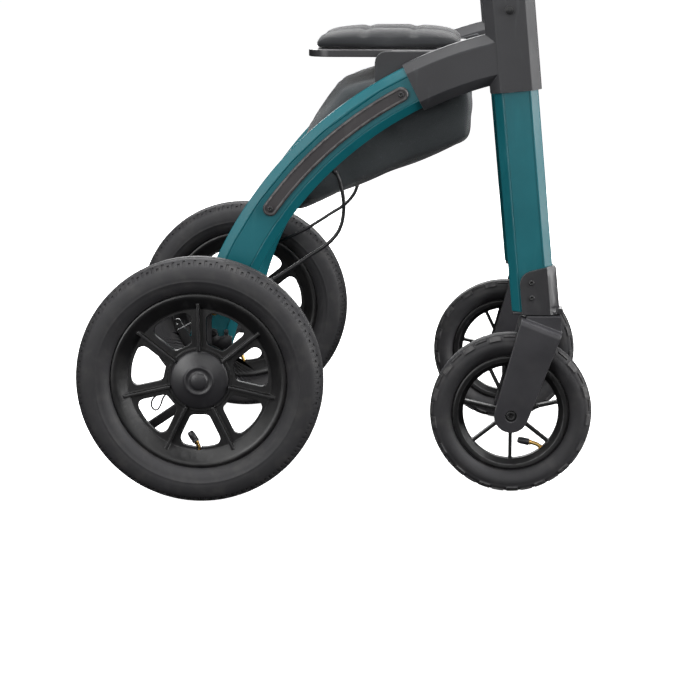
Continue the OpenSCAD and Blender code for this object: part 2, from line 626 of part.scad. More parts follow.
front_in_half = [[front_flange_d / 2 - 2.5, 12], [front_flange_d / 2 - 7, 11.4], [front_open_d / 2 + 0.5, 4.6]];
front_valve_a = 50;
module front_rim() color("black") front_hub() difference() {
    union() {
        rotate_extrude($fn = 96)
            polygon(concat(both(front_barrel_half), [for (p = front_in_half) [p[0], -p[1]]],
                [for (i = [2:-1:0]) front_in_half[i]]));
        for (i = [0:spokes - 1]) rotate(90 + i * 360 / spokes)
            translate([front_hub_r - 2, -front_spoke_w / 2, -5]) cube([front_open_d / 2 - front_hub_r + 4, front_spoke_w, 10]);
        cylinder(r = front_hub_r, h = 2 * front_hub_half, center = true);
        cylinder(r = front_hub_r + 4, h = 14, center = true);
    }
    cylinder(r = front_axle_d / 2 + 3, h = fork_gap, center = true);
    for (s = [-1, 1]) translate([0, 0, s * front_hub_half])
        cylinder(r = front_brg[1] / 2 + fit, h = 2 * front_brg[2] + 0.4, center = true);
    rotate([90, 0, front_valve_a + 90]) translate([0, 0, front_open_d / 2 - 5]) cylinder(r = valve_r + 0.4, h = front_r);
}
module front_bearings() color("silver") front_hub()
    for (s = [-1, 1]) translate([0, 0, s * (front_hub_half - front_brg[2] / 2) - front_brg[2] / 2])
        ring(front_brg[1] / 2, front_axle_d / 2 + run, front_brg[2]);
module front_valve() color("goldenrod") front_hub() rotate([90, 0, front_valve_a + 90]) valve(front_bead_r, front_open_d / 2 - 5, 15, 38.5, 14);

// Handle: tube that slides in the collar, guide shoe, bend, grip bar and the lever's bracket
handle_in = 170;
shoe_h = 24;
handle_low = join_u - handle_in;
handle_top = join_u + sleeve_high + collar_h + handle_free;
turn = 90 - lean - grip_rise;
bracket_at = 8;
bracket_w = 20;
grip_at = bracket_at + bracket_w / 2 + 4;
bar_len = grip_at + grip_len - 4;
pivot_drop = 27;
pivot_r = 3;
lever_t = 10;
ear_t = 5;
module bar_line() upright_line() translate([-bend_r * (1 - cos(turn)), 0, handle_top + bend_r * sin(turn)])
    rotate([0, lean + grip_rise, 0]) children();
module handle_tube() color("dimgray") {
    difference() {
        union() {
            upright_line() translate([0, 0, handle_low]) cylinder(r = handle_d / 2, h = handle_top - handle_low);
            upright_line() translate([0, 0, handle_low]) linear_extrude(shoe_h) profile(-wall - gap);
            upright_line() translate([-bend_r, 0, handle_top]) rotate([90, 0, 0])
                rotate_extrude(angle = turn) translate([bend_r, 0]) circle(r = handle_d / 2);
            bar_line() rotate([0, -90, 0]) cylinder(r = handle_d / 2, h = bar_len);
            bar_line() translate([-bracket_at + bracket_w / 2, 0, 0]) rotate([0, -90, 0])
                cylinder(r = handle_d / 2 + 4, h = bracket_w);
            bar_line() translate([-bracket_at, 0, -pivot_drop]) for (s = [-1, 1])
                translate([-bracket_w / 2, s * (lever_t / 2 + gap + ear_t / 2) - ear_t / 2, 0]) {
                    cube([bracket_w, ear_t, pivot_drop]);
                    translate([bracket_w / 2, 0, 0]) rotate([-90, 0, 0]) cylinder(r = bracket_w / 2, h = ear_t);
                }
        }
        upright_line() translate([0, 0, handle_low - 1]) cylinder(r = handle_d / 2 - handle_wall, h = handle_top - handle_low + 1);
        upright_line() translate([-bend_r, 0, handle_top]) rotate([90, 0, 0])
            rotate_extrude(angle = turn) translate([bend_r, 0]) circle(r = handle_d / 2 - handle_wall);
        bar_line() rotate([0, -90, 0]) cylinder(r = handle_d / 2 - handle_wall, h = bar_len + 1);
    }
    bar_line() translate([-bracket_at, 0, -pivot_drop]) rotate([90, 0, 0])
        cylinder(r = pivot_r, h = lever_t + 2 * gap + 2 * ear_t, center = true);
}
module grip() color("black") bar_line() translate([-grip_at, 0, 0]) rotate([0, -90, 0]) rotate_extrude() {
    g = grip_d / 2;
    b = handle_d / 2 + fit;
    polygon([[b, 0], [g + 3, 0], [g + 3, 4], [g - 1, 9], [g - 0.5, 34], [g + 0.6, 62], [g - 0.6, 90],
        [g, grip_len - 6], [g - 3, grip_len - 1], [g - 6, grip_len], [0, grip_len], [0, grip_len - 3.6], [b, grip_len - 3.6]]);
}

// Brake lever under the grip
lever_hub_r = 9;
lever_len = 122;
module brake_lever() color("dimgray") bar_line() translate([-bracket_at, lever_t / 2, 0]) rotate([90, 0, 0]) linear_extrude(lever_t) difference() {
    union() {
        translate([0, -pivot_drop]) circle(r = lever_hub_r);
        polygon(rounded([[lever_hub_r - 1, -pivot_drop - 1], [-4, -pivot_drop - 7], [-26, -lever_drop + 5], [-lever_len + 14, -lever_drop + 7],
            [-lever_len, -lever_drop + 12], [-lever_len - 3, -lever_drop + 1], [-lever_len + 12, -lever_drop - 5], [-30, -lever_drop - 8], [-2, -pivot_drop - 22]],
            [1, 4, 12, 10, 3, 3, 10, 14, 5]));
    }
    translate([0, -pivot_drop]) circle(r = pivot_r + run);
}

// Seat panels with the middle hinge: the left panel carries two barrels, the right one two and the rod
barrel_r = 7;
seat_mid_rod = 3;
left_barrels = [[145, 180], [285, 320]];
right_barrels = [[180.5, 215], [250, 284.5]];
panel_low = hinge_z + 1;
panel_edge = hinge_y - 12;
panel_gap = 0.4;
module seat_panel(own, other, rod) color("dimgray") {
    difference() {
        union() {
            difference() {
                translate([0, 0, panel_low]) linear_extrude(panel_t)
                    polygon(rounded([[seat_back, panel_gap], [seat_front, panel_gap], [seat_front, panel_edge],
                        [seat_back, panel_edge]], [1, 1, 14, 30]));
                for (b = other) along(0, hinge_z, barrel_r + gap, b[0] - gap, b[1] + gap);
            }
            for (b = own) along(0, hinge_z, barrel_r, b[0], b[1]);
            along(hinge_y, hinge_z, barrel_r, seat_lug[0] + seat_lug_w + gap, seat_lug[1] - gap);
            translate([seat_lug[0] + seat_lug_w + gap, panel_edge - 2, hinge_z])
                cube([seat_lug[1] - seat_lug[0] - seat_lug_w - 2 * gap, 14, panel_t + 1]);
        }
        along(hinge_y, hinge_z, seat_rod_r + run, seat_back, seat_front);
        if (!rod) along(0, hinge_z, seat_mid_rod + run, seat_back, seat_front);
    }
    if (rod) along(0, hinge_z, seat_mid_rod, left_barrels[0][0], left_barrels[1][1]);
}
// Cushion: crowned top, rounded ends and edges, a seam groove across the middle
cushion_in = 3;
cushion_out = panel_edge - 33;
cushion_low = panel_low + panel_t + fit;
function sq(v, p) = sign(v) * pow(abs(v), p);
function cushion_ring(k) =
    let(u = 2 * k - 1, e = pow(1 - pow(abs(u), 6), 0.5), s = 1 - 0.16 * exp(-pow(u * 9, 2)),
        a = (cushion_out - cushion_in) / 2 * (0.9 + 0.1 * e), c = (cushion_out + cushion_in) / 2,
        h = cushion_t * (0.35 + 0.65 * e) * s)
    [for (i = [0:27]) let(t = 360 * i / 28, y = sq(cos(t), 0.42), z = sq(sin(t), 0.5))
        [seat_back + 4 + (seat_front - seat_back - 8) * k, c + a * y,
            cushion_low + (z < 0 ? 0.14 * cushion_t * (1 + z) : 0.14 * cushion_t + (h - 0.14 * cushion_t) * z * (0.8 + 0.2 * cos(80 * y)))]];
module seat_cushion() color("dimgray")
    skin([for (k = [0, 0.02, 0.05, 0.1, 0.18, 0.28, 0.38, 0.44, 0.48, 0.5, 0.52, 0.56, 0.62, 0.72, 0.82, 0.9, 0.95, 0.98, 1]) cushion_ring(k)]);

// Brace halves with the same hinge spacing as the seat
brace_t = 12;
brace_barrel_r = 8;
brace_low = brace_z + 1;
module brace(left) color("silver") {
    own = left ? [[-4, 4]] : [[-brace_w / 2, -4.5], [4.5, brace_w / 2]];
    other = left ? [[-brace_w / 2, -4.5], [4.5, brace_w / 2]] : [[-4, 4]];
    translate([brace_x, 0, 0]) difference() {
        union() {
            difference() {
                translate([-brace_w / 2, panel_gap, brace_low]) cube([brace_w, hinge_y - panel_gap, brace_t]);
                for (b = other) along(0, brace_z, brace_barrel_r + gap, b[0] - gap, b[1] + gap);
            }
            for (b = own) along(0, brace_z, brace_barrel_r, b[0], b[1]);
            along(hinge_y, brace_z, brace_barrel_r, -brace_w / 2, brace_w / 2);
        }
        along(hinge_y, brace_z, brace_pin_r + run, -brace_w, brace_w);
        if (left) along(0, brace_z, brace_pin_r + run, -brace_w, brace_w);
    }
    if (!left) translate([brace_x, 0, 0]) along(0, brace_z, brace_pin_r, -brace_w / 2, brace_w / 2);
}

// Bag between the side frames: hung by its upper sides, bottom rising to the front, ends drawn in
bag_half = gusset_y - 0.3;
bag_line = [[112, 352], [200, 390.5], [290, 429.5], [338, 451.5], [342, 500], [336, 536], [290, 541], [225, 541], [165, 524], [128, 470], [112, 410]];
bag_top = [300, 516];
function bag_ring(y) =
    let(u = abs(y) / bag_half, s = u > 0.97 ? 0.3 : 1 - 0.16 * pow(u, 6), b = 1 - 0.05 * pow(u, 2))
    [for (p = rounded(bag_line, 8)) let(q = bag_top + (p - bag_top) * s) [q[0], y, bag_top[1] + (q[1] - bag_top[1]) * b]];
module bag() color("gray")
    skin([for (k = [-1, -0.975, -0.955, -0.9, -0.8, -0.6, -0.3, 0, 0.3, 0.6, 0.8, 0.9, 0.955, 0.975, 1]) bag_ring(k * bag_half)]);

put(1) rear_leg();  // rear_leg_left
put(1) front_upright();  // front_upright_left
put(1) frame_junction();  // frame_junction_left
put(1) leg_strip();  // leg_strip_left
put(1) castor_housing();  // castor_housing_left
put(1) head_bearings();  // head_bearings_left
put(1) frame_screws();  // frame_screws_left
put(1) axle_block();  // axle_block_left
put(1) rear_axle();  // rear_axle_left
put(1) brake_plate();  // brake_plate_left
put(1) brake_cable();  // brake_cable_left
put(1) brake_arm();  // brake_arm_left
put(1) rear_tyre();  // rear_tyre_left
put(1) rear_rim();  // rear_rim_left
put(1) hub_cap();  // hub_cap_left
put(1) rear_bearings();  // rear_bearings_left
put(1) rear_valve();  // rear_valve_left
put(1) castor_fork();  // castor_fork_left
put(1) front_axle();  // front_axle_left
put(1) front_tyre();  // front_tyre_left
put(1) front_rim();  // front_rim_left
put(1) front_bearings();  // front_bearings_left
put(1) front_valve();  // front_valve_left
put(1) handle_tube();  // handle_tube_left
put(1) grip();  // grip_left
put(1) brake_lever();  // brake_lever_left
put(1) seat_panel(left_barrels, right_barrels, false);  // seat_panel_left
put(1) seat_cushion();  // seat_cushion_left
put(1) brace(true);  // brace_left
put(-1) rear_leg();  // rear_leg_right
put(-1) front_upright();  // front_upright_right
put(-1) frame_junction();  // frame_junction_right
put(-1) leg_strip();  // leg_strip_right
put(-1) castor_housing();  // castor_housing_right
put(-1) head_bearings();  // head_bearings_right
put(-1) frame_screws();  // frame_screws_right
put(-1) axle_block();  // axle_block_right
put(-1) rear_axle();  // rear_axle_right
put(-1) brake_plate();  // brake_plate_right
put(-1) brake_cable();  // brake_cable_right
put(-1) brake_arm();  // brake_arm_right
put(-1) rear_tyre();  // rear_tyre_right
put(-1) rear_rim();  // rear_rim_right
put(-1) hub_cap();  // hub_cap_right
put(-1) rear_bearings();  // rear_bearings_right
put(-1) rear_valve();  // rear_valve_right
put(-1) castor_fork();  // castor_fork_right
put(-1) front_axle();  // front_axle_right
put(-1) front_tyre();  // front_tyre_right
put(-1) front_rim();  // front_rim_right
put(-1) front_bearings();  // front_bearings_right
put(-1) front_valve();  // front_valve_right
put(-1) handle_tube();  // handle_tube_right
put(-1) grip();  // grip_right
put(-1) brake_lever();  // brake_lever_right
put(-1) seat_panel(right_barrels, left_barrels, true);  // seat_panel_right
put(-1) seat_cushion();  // seat_cushion_right
put(-1) brace(false);  // brace_right
put(1) bag();
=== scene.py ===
"""Looks of a four-wheeled walking frame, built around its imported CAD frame.

Sizes inside the pieces are in millimetres, and MM turns them into metres. The x of a named point
is counted from the rear axle, as in the part's source.
"""

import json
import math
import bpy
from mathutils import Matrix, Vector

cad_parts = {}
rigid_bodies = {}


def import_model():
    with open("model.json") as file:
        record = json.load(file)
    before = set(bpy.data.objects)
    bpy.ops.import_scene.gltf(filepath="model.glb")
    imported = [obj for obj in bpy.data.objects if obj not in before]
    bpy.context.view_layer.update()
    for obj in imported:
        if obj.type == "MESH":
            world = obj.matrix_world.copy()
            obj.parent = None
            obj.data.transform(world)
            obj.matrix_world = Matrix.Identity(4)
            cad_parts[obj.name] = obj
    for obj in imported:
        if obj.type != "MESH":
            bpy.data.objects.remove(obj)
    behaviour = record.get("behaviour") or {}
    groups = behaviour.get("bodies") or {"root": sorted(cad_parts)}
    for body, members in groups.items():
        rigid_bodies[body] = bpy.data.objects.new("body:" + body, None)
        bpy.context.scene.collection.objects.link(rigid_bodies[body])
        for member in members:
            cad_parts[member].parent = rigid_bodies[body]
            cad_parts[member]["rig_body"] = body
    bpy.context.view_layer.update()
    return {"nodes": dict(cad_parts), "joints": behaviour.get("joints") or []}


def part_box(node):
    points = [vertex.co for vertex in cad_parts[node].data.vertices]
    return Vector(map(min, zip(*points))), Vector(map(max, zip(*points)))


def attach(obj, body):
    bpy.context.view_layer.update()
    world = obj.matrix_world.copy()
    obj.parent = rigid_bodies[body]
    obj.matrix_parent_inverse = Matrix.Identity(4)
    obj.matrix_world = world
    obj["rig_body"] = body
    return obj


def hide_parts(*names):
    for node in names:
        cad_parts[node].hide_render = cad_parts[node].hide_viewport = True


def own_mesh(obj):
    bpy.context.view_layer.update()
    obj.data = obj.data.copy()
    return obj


bl_info = {
    "name": "Walking frame",
    "version": (1, 0, 0),
    "blender": (4, 5, 0),
    "location": "3D View > Sidebar > Walking frame",
    "description": "Dresses the CAD frame of a four-wheeled walking frame",
    "category": "Object",
}

import bmesh
import bpy
from bpy.props import FloatProperty, FloatVectorProperty, IntProperty, PointerProperty
from mathutils import Matrix, Vector

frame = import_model()

MM = 0.001
MERGE = 0.002 * MM
FLAT = math.radians(0.6)
GROOVE_SLOPE, GROOVE_DEPTH = 0.35 * MM, 0.7 * MM
SIDES = (("left", 1), ("right", -1))
PIVOT = {j["name"]: Vector(j["pos_m"]) for j in frame["joints"] if "pos_m" in j}
REAR_AXLE = PIVOT["rear_wheel_spin_left"]
ACROSS = Vector((0.0, 1.0, 0.0))
UP = Vector((0.0, 0.0, 1.0))


# Settings that a user would change


class WheelSettings(bpy.types.PropertyGroup):
    """Tread of the tyres."""

    rear_notches: IntProperty(
        name="Rear notches", description="Notches round each shoulder of a rear tyre", default=140, min=20
    )
    front_lugs: IntProperty(
        name="Front lugs", description="Lugs round each shoulder of a front tyre", default=34, min=8
    )
    notch_depth: FloatProperty(
        name="Notch depth", description="Depth of the cuts in a rear tread", default=1.3 * MM, unit="LENGTH"
    )
    lug_height: FloatProperty(
        name="Lug height",
        description="Height of the blocks on a front tread",
        default=1.7 * MM,
        unit="LENGTH",
    )
    edge: FloatProperty(
        name="Moulded edge",
        description="Rounding along the edges of rims and forks",
        default=0.9 * MM,
        unit="LENGTH",
    )


class CoatSettings(bpy.types.PropertyGroup):
    """Colours of the hard pieces."""

    tube: FloatVectorProperty(
        name="Tubes",
        description="Powder coat of legs and uprights",
        subtype="COLOR",
        size=4,
        default=(0.004, 0.108, 0.131, 1),
    )
    joint: FloatVectorProperty(
        name="Joints",
        description="Coat of the junctions",
        subtype="COLOR",
        size=4,
        default=(0.028, 0.028, 0.031, 1),
    )
    strip: FloatVectorProperty(
        name="Leg strip",
        description="Moulded strip on the leg",
        subtype="COLOR",
        size=4,
        default=(0.034, 0.030, 0.032, 1),
    )
    moulding: FloatVectorProperty(
        name="Mouldings",
        description="Housings, rims and forks",
        subtype="COLOR",
        size=4,
        default=(0.0110, 0.0107, 0.0122, 1),
    )
    rubber: FloatVectorProperty(
        name="Tyres",
        description="Rubber of the tyres",
        subtype="COLOR",
        size=4,
        default=(0.0200, 0.0195, 0.0218, 1),
    )
    brass: FloatVectorProperty(
        name="Brass",
        description="Valves and cable adjusters",
        subtype="COLOR",
        size=4,
        default=(0.68, 0.42, 0.13, 1),
    )
    edge: FloatProperty(
        name="Eased edge",
        description="Rounding along the edges of the frame's pieces",
        default=0.7 * MM,
        unit="LENGTH",
    )


class ClothSettings(bpy.types.PropertyGroup):
    """Seat covers and bag."""

    seat: FloatVectorProperty(
        name="Seat cover",
        description="Cloth of the cushions",
        subtype="COLOR",
        size=4,
        default=(0.02, 0.021, 0.023, 1),
    )
    bag: FloatVectorProperty(
        name="Bag", description="Cloth of the bag", subtype="COLOR", size=4, default=(0.055, 0.061, 0.065, 1)
    )
    pitch: FloatProperty(
        name="Weave", description="Distance between threads", default=1.3 * MM, unit="LENGTH"
    )
    swell: FloatProperty(
        name="Swell", description="Furthest that a cushion's cover may swell", default=7 * MM, unit="LENGTH"
    )


class StudioSettings(bpy.types.PropertyGroup):
    """Camera and light."""

    place: FloatVectorProperty(
        name="Camera place",
        description="Where the camera stands",
        subtype="XYZ",
        unit="LENGTH",
        default=(0.15321, -2.89226, 0.70601),
    )
    lens: FloatProperty(
        name="Lens", description="Focal length on a 36 mm sensor", default=108.418, unit="CAMERA"
    )
    yaw: FloatProperty(
        name="Yaw",
        description="Turn of the camera from straight across",
        subtype="ANGLE",
        default=math.radians(-2.9341),
    )
    pitch: FloatProperty(
        name="Pitch",
        description="Dip of the camera below the horizon",
        subtype="ANGLE",
        default=math.radians(11.0325),
    )
    surround: FloatProperty(
        name="Surround", description="Strength of the even white surround", default=0.03, min=0
    )
    key: FloatProperty(
        name="Key lights",
        description="Power of each soft light in front of the object",
        default=16.0,
        min=0,
        unit="POWER",
    )
    side: FloatProperty(
        name="Side light",
        description="Power of the tall light on the right",
        default=58.0,
        min=0,
        unit="POWER",
    )
    top: FloatProperty(
        name="Top light", description="Power of the wide light above", default=88.0, min=0, unit="POWER"
    )
    back: FloatProperty(
        name="Back light", description="Power of the wide light behind", default=70.0, min=0, unit="POWER"
    )
    floor_glow: FloatProperty(
        name="Floor", description="Brightness of the pale floor by itself", default=1.05, min=0
    )


# Small tools for meshes


def point(x, y, z, side=1):
    """A point in metres from millimetres, with x counted from the rear axle."""
    return Vector((REAR_AXLE.x + x * MM, side * y * MM, z * MM))


def cad_mesh(node):
    """A merged copy of a CAD node's mesh."""
    bm = bmesh.new()
    bm.from_mesh(frame["nodes"][node].data)
    bmesh.ops.remove_doubles(bm, verts=bm.verts, dist=MERGE)
    return bm


def cad_faces(node):
    """A merged copy whose flat triangles are joined into faces."""
    bm = cad_mesh(node)
    bmesh.ops.dissolve_limit(bm, angle_limit=FLAT, verts=bm.verts, edges=bm.edges)
    return bm


def ease_edges(bm, width, angle=38):
    """Rounds the sharp edges and marks the outward ones, which the finishes paint lighter: rubbed wear and a
    painted highlight.
    """
    worn = bm.verts.layers.float.get("worn") or bm.verts.layers.float.new("worn")
    sharp = [e for e in bm.edges if len(e.link_faces) == 2 and e.calc_face_angle(0) > math.radians(angle)]
    strips = set(
        bmesh.ops.bevel(
            bm,
            geom=sharp,
            offset=width,
            offset_type="OFFSET",
            segments=2,
            profile=0.5,
            affect="EDGES",
            clamp_overlap=False,
            material=-1,
        )["faces"]
    )
    bm.normal_update()
    # outward bevel vertices get the mark; the finishes paint them lighter as rubbed wear and as a painted
    # highlight on the edges
    for v in {v for f in strips for v in f.verts}:
        if all(f in strips for f in v.link_faces):
            lean = sum((e.other_vert(v).co - v.co).dot(v.normal) for e in v.link_edges)
            v[worn] = 1.0 if lean < 0 else 0.0


def turned(bm, profile, centre, axis, steps, closed=False):
    """Turns a profile of (radius, distance along the axis) points round an axis."""
    axis = Vector(axis).normalized()
    out = axis.orthogonal().normalized()
    verts = [bm.verts.new(centre + out * (r * MM) + axis * (a * MM)) for r, a in profile]
    edges = [bm.edges.new(pair) for pair in zip(verts, verts[1:])]
    if closed:
        edges.append(bm.edges.new((verts[-1], verts[0])))
    bmesh.ops.spin(
        bm,
        geom=verts + edges,
        cent=centre,
        axis=axis,
        angle=2 * math.pi,
        steps=steps,
        use_merge=True,
        use_duplicate=False,
    )
    bmesh.ops.remove_doubles(bm, verts=bm.verts, dist=MERGE)
    bmesh.ops.recalc_face_normals(bm, faces=bm.faces)


def tube(bm, points, radius):
    """A round tube along a smooth line through the points."""
    curve = bpy.data.curves.new("route", "CURVE")
    curve.dimensions = "3D"
    curve.bevel_depth = radius * MM
    curve.bevel_resolution = 3
    curve.resolution_u = 8
    curve.use_fill_caps = True
    spline = curve.splines.new("BEZIER")
    spline.bezier_points.add(len(points) - 1)
    for knot, place in zip(spline.bezier_points, points):
        knot.co = place
        knot.handle_left_type = knot.handle_right_type = "AUTO"
    carrier = bpy.data.objects.new("route", curve)
    bpy.context.scene.collection.objects.link(carrier)
    mesh = bpy.data.meshes.new_from_object(carrier.evaluated_get(bpy.context.evaluated_depsgraph_get()))
    bm.from_mesh(mesh)
    bpy.data.objects.remove(carrier)
    bpy.data.curves.remove(curve)
    bpy.data.meshes.remove(mesh)
    bmesh.ops.remove_doubles(bm, verts=bm.verts, dist=MERGE)
    bmesh.ops.recalc_face_normals(bm, faces=bm.faces)


def slot_of(node):
    """The record's material slot of a CAD node."""
    return frame["nodes"][node]["slot_name"]


def dress(obj, node, slot=None):
    """Puts an object in a CAD node's place and finish, or beside it on its body in a finish of its own."""
    obj.data.materials.clear()
    obj.data.materials.append(bpy.data.materials[FINISH[slot or slot_of(node)]])
    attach(obj, frame["nodes"][node]["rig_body"])
    if not slot:
        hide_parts(node)


def piece(bm, name, node, slot=None, crease=40):
    """Makes the mesh a piece of its own and dresses it."""
    mesh = bpy.data.meshes.new(name)
    bm.normal_update()
    bm.to_mesh(mesh)
    bm.free()
    mesh.shade_smooth()
    mesh.set_sharp_from_angle(angle=math.radians(crease))
    obj = bpy.data.objects.new(name, mesh)
    bpy.context.scene.collection.objects.link(obj)
    dress(obj, node, slot)
    return obj


def eased(node, name, width, angle=38, groove=0.0):
    """A copy of a CAD node with rounded edges, and a groove that far inside its outer face where asked."""
    bm = cad_faces(node)
    ease_edges(bm, width, angle)
    if groove:
        reach = max(abs(v.co.y) for v in bm.verts)
        outer = [f for f in bm.faces if all(abs(v.co.y) > reach - 0.02 * MM for v in f.verts)]
        ring = bmesh.ops.inset_region(bm, faces=outer, thickness=groove, depth=0, use_even_offset=True)
        bmesh.ops.inset_region(
            bm, faces=ring["faces"], thickness=GROOVE_SLOPE, depth=-GROOVE_DEPTH, use_even_offset=True
        )
    settled(bm, node, name)


def settled(bm, node, name, crease=32):
    """Puts a worked copy in its CAD node's place and keeps its large faces flat in the light."""
    obj = piece(bm, name, node, crease=crease)
    shading = obj.modifiers.new("flat_faces", "WEIGHTED_NORMAL")
    shading.keep_sharp = True


# Finishes


FINISH = {
    "frame_teal": "teal_powder_coat",
    "joint_grey": "dark_textured_coat",
    "strip_grey": "moulded_leg_strip",
    "black_plastic": "grained_black_moulding",
    "rim_black": "satin_rim_moulding",
    "fork_black": "satin_fork_moulding",
    "tyre": "tyre_rubber",
    "steel": "turned_steel",
    "dark_steel": "blackened_steel",
    "valve_brass": "worn_brass",
    "cable_black": "cable_sheath",
    "handle_grey": "anodised_tube",
    "grip_rubber": "grip_rubber",
    "lever_black": "lever_coat",
    "seat_cover": "seat_cloth",
    "bag_cloth": "bag_cloth_weave",
}
DUST = (0.16, 0.15, 0.135, 1)


def add(tree, kind, values=None, **settings):
    """Adds a shader node; a value that is a socket is linked."""
    made = tree.nodes.new("ShaderNode" + kind)
    for key, value in settings.items():
        setattr(made, key, value)
    for key, value in (values or {}).items():
        if isinstance(value, bpy.types.NodeSocket):
            tree.links.new(value, made.inputs[key])
        else:
            made.inputs[key].default_value = value
    return made


def noise(tree, coord, scale, detail=3.0, stretch=None):
    """Noise on the object's coordinates, stretched along an axis where asked."""
    if stretch:
        coord = add(tree, "Mapping", {"Vector": coord, "Scale": stretch}).outputs["Vector"]
    return add(tree, "TexNoise", {"Vector": coord, "Scale": scale, "Detail": detail}).outputs["Fac"]


def ramp(tree, value, low, high, to_low=0.0, to_high=1.0):
    """Maps low to high onto a new range, with soft ends."""
    values = {"Value": value, "From Min": low, "From Max": high, "To Min": to_low, "To Max": to_high}
    return add(tree, "MapRange", values, interpolation_type="SMOOTHSTEP").outputs["Result"]


def mix(tree, share, a, b):
    """Mixes two colours."""
    return add(tree, "Mix", {0: share, 6: a, 7: b}, data_type="RGBA").outputs[2]


def math_node(tree, operation, a, b=0.0):
    """One sum of two values."""
    return add(tree, "Math", {0: a, 1: b}, operation=operation).outputs[0]


def shade(colour, factor):
    """A lighter or darker colour."""
    return tuple(min(1.0, c * factor) for c in colour[:3]) + (1.0,)


def new_finish(slot):
    """An empty material with its shader and the object's coordinates."""
    material = bpy.data.materials.new(FINISH.get(slot, slot))
    material.use_nodes = True
    tree = material.node_tree
    tree.nodes.clear()
    shader = add(tree, "BsdfPrincipled")
    output = add(tree, "OutputMaterial")
    tree.links.new(shader.outputs["BSDF"], output.inputs["Surface"])
    coord = add(tree, "TexCoord").outputs["Object"]
    return material, tree, shader, coord


def hard_finish(slot, colour, rough, grain, depth, wear_and_highlight_tone, metallic=0.0, spread=0.12, dust=0.0, level=0.5):
    """Coats, mouldings and metals: cloudy tone, fine grain, scuffs, rubbed edges that also carry a painted
    highlight, and a little dust.
    """
    _, tree, shader, coord = new_finish(slot)
    clouds = noise(tree, coord, 16.0, 5.0)
    fine = noise(tree, coord, grain, 2.0)
    scuffs = ramp(tree, noise(tree, coord, 90.0, 4.0, (1.0, 1.0, 0.15)), 0.6, 0.72)
    tone = mix(tree, ramp(tree, clouds, 0.3, 0.7), shade(colour, 1 - spread), shade(colour, 1 + spread))
    tone = mix(tree, math_node(tree, "MULTIPLY", scuffs, 0.10), tone, wear_and_highlight_tone)
    # marked edges are painted in the lighter tone: rubbed wear, and a painted highlight standing in for the
    # light the edges catch
    edge = add(tree, "Attribute", attribute_name="worn").outputs["Fac"]
    rubbed_and_lit_share = ramp(tree, noise(tree, coord, 160.0, 3.0), 0.35, 0.62, 0.1, 0.75)
    tone = mix(tree, math_node(tree, "MULTIPLY", edge, rubbed_and_lit_share), tone, wear_and_highlight_tone)
    if dust:
        powder = ramp(tree, noise(tree, coord, 45.0, 6.0), 0.45, 0.75, 0.0, dust)
        tone = mix(tree, powder, tone, DUST)
    gloss = ramp(tree, clouds, 0.25, 0.75, rough - 0.05, rough + 0.07)
    gloss = math_node(tree, "ADD", gloss, math_node(tree, "MULTIPLY", scuffs, 0.08))
    relief = add(tree, "Bump", {"Strength": 0.5, "Distance": depth * MM, "Height": fine}).outputs["Normal"]
    for key, value in {"Base Color": tone, "Roughness": gloss, "Normal": relief}.items():
        tree.links.new(value, shader.inputs[key])
    shader.inputs["Metallic"].default_value = metallic
    shader.inputs["Specular IOR Level"].default_value = level


def weave_height(tree, u, v, pitch):
    """Height of a plain weave whose threads cross along u and v."""
    across = math_node(tree, "SINE", math_node(tree, "MULTIPLY", u, math.pi / pitch))
    along = math_node(tree, "SINE", math_node(tree, "MULTIPLY", v, math.pi / pitch))
    over = math_node(tree, "GREATER_THAN", math_node(tree, "MULTIPLY", across, along), 0.0)
    under = math_node(tree, "SUBTRACT", 1.0, over)
    warp = math_node(tree, "MULTIPLY", math_node(tree, "ABSOLUTE", across), over)
    weft = math_node(tree, "MULTIPLY", math_node(tree, "ABSOLUTE", along), under)
    return math_node(tree, "ADD", warp, weft)


def woven_finish(slot, colour, pitch, sheen):
    """Cloth: a plain weave on whichever plane the surface faces, with faded and rubbed places, and painted
    shade where the threads dip.
    """
    _, tree, shader, coord = new_finish(slot)
    place = add(tree, "SeparateXYZ", {0: coord}).outputs
    facing = add(tree, "SeparateXYZ", {0: add(tree, "NewGeometry").outputs["Normal"]}).outputs
    height = 0.0
    for axis, (u, v) in enumerate(((1, 2), (0, 2), (0, 1))):
        share = math_node(tree, "POWER", facing[axis], 2.0)
        part = math_node(tree, "MULTIPLY", share, weave_height(tree, place[u], place[v], pitch))
        height = math_node(tree, "ADD", height, part)
    clouds = noise(tree, coord, 12.0, 5.0)
    slubs = noise(tree, coord, 300.0, 2.0, (1.0, 0.1, 1.0))
    # threads are painted darker where they dip between crossings: painted shade in the weave's hollows
    tone = mix(tree, ramp(tree, height, 0.15, 0.9), shade(colour, 0.55), shade(colour, 1.2))
    tone = mix(tree, ramp(tree, clouds, 0.45, 0.8, 0.0, 0.25), tone, shade(colour, 1.9))
    tone = mix(tree, ramp(tree, slubs, 0.62, 0.8, 0.0, 0.3), tone, shade(colour, 2.2))
    thread = math_node(tree, "ADD", height, math_node(tree, "MULTIPLY", slubs, 0.4))
    relief = add(tree, "Bump", {"Strength": 0.6, "Distance": 0.35 * MM, "Height": thread}).outputs["Normal"]
    tree.links.new(tone, shader.inputs["Base Color"])
    tree.links.new(ramp(tree, clouds, 0.3, 0.7, 0.78, 0.92), shader.inputs["Roughness"])
    tree.links.new(relief, shader.inputs["Normal"])
    shader.inputs["Sheen Weight"].default_value = sheen
    shader.inputs["Sheen Roughness"].default_value = 0.4
    shader.inputs["Specular IOR Level"].default_value = 0.25


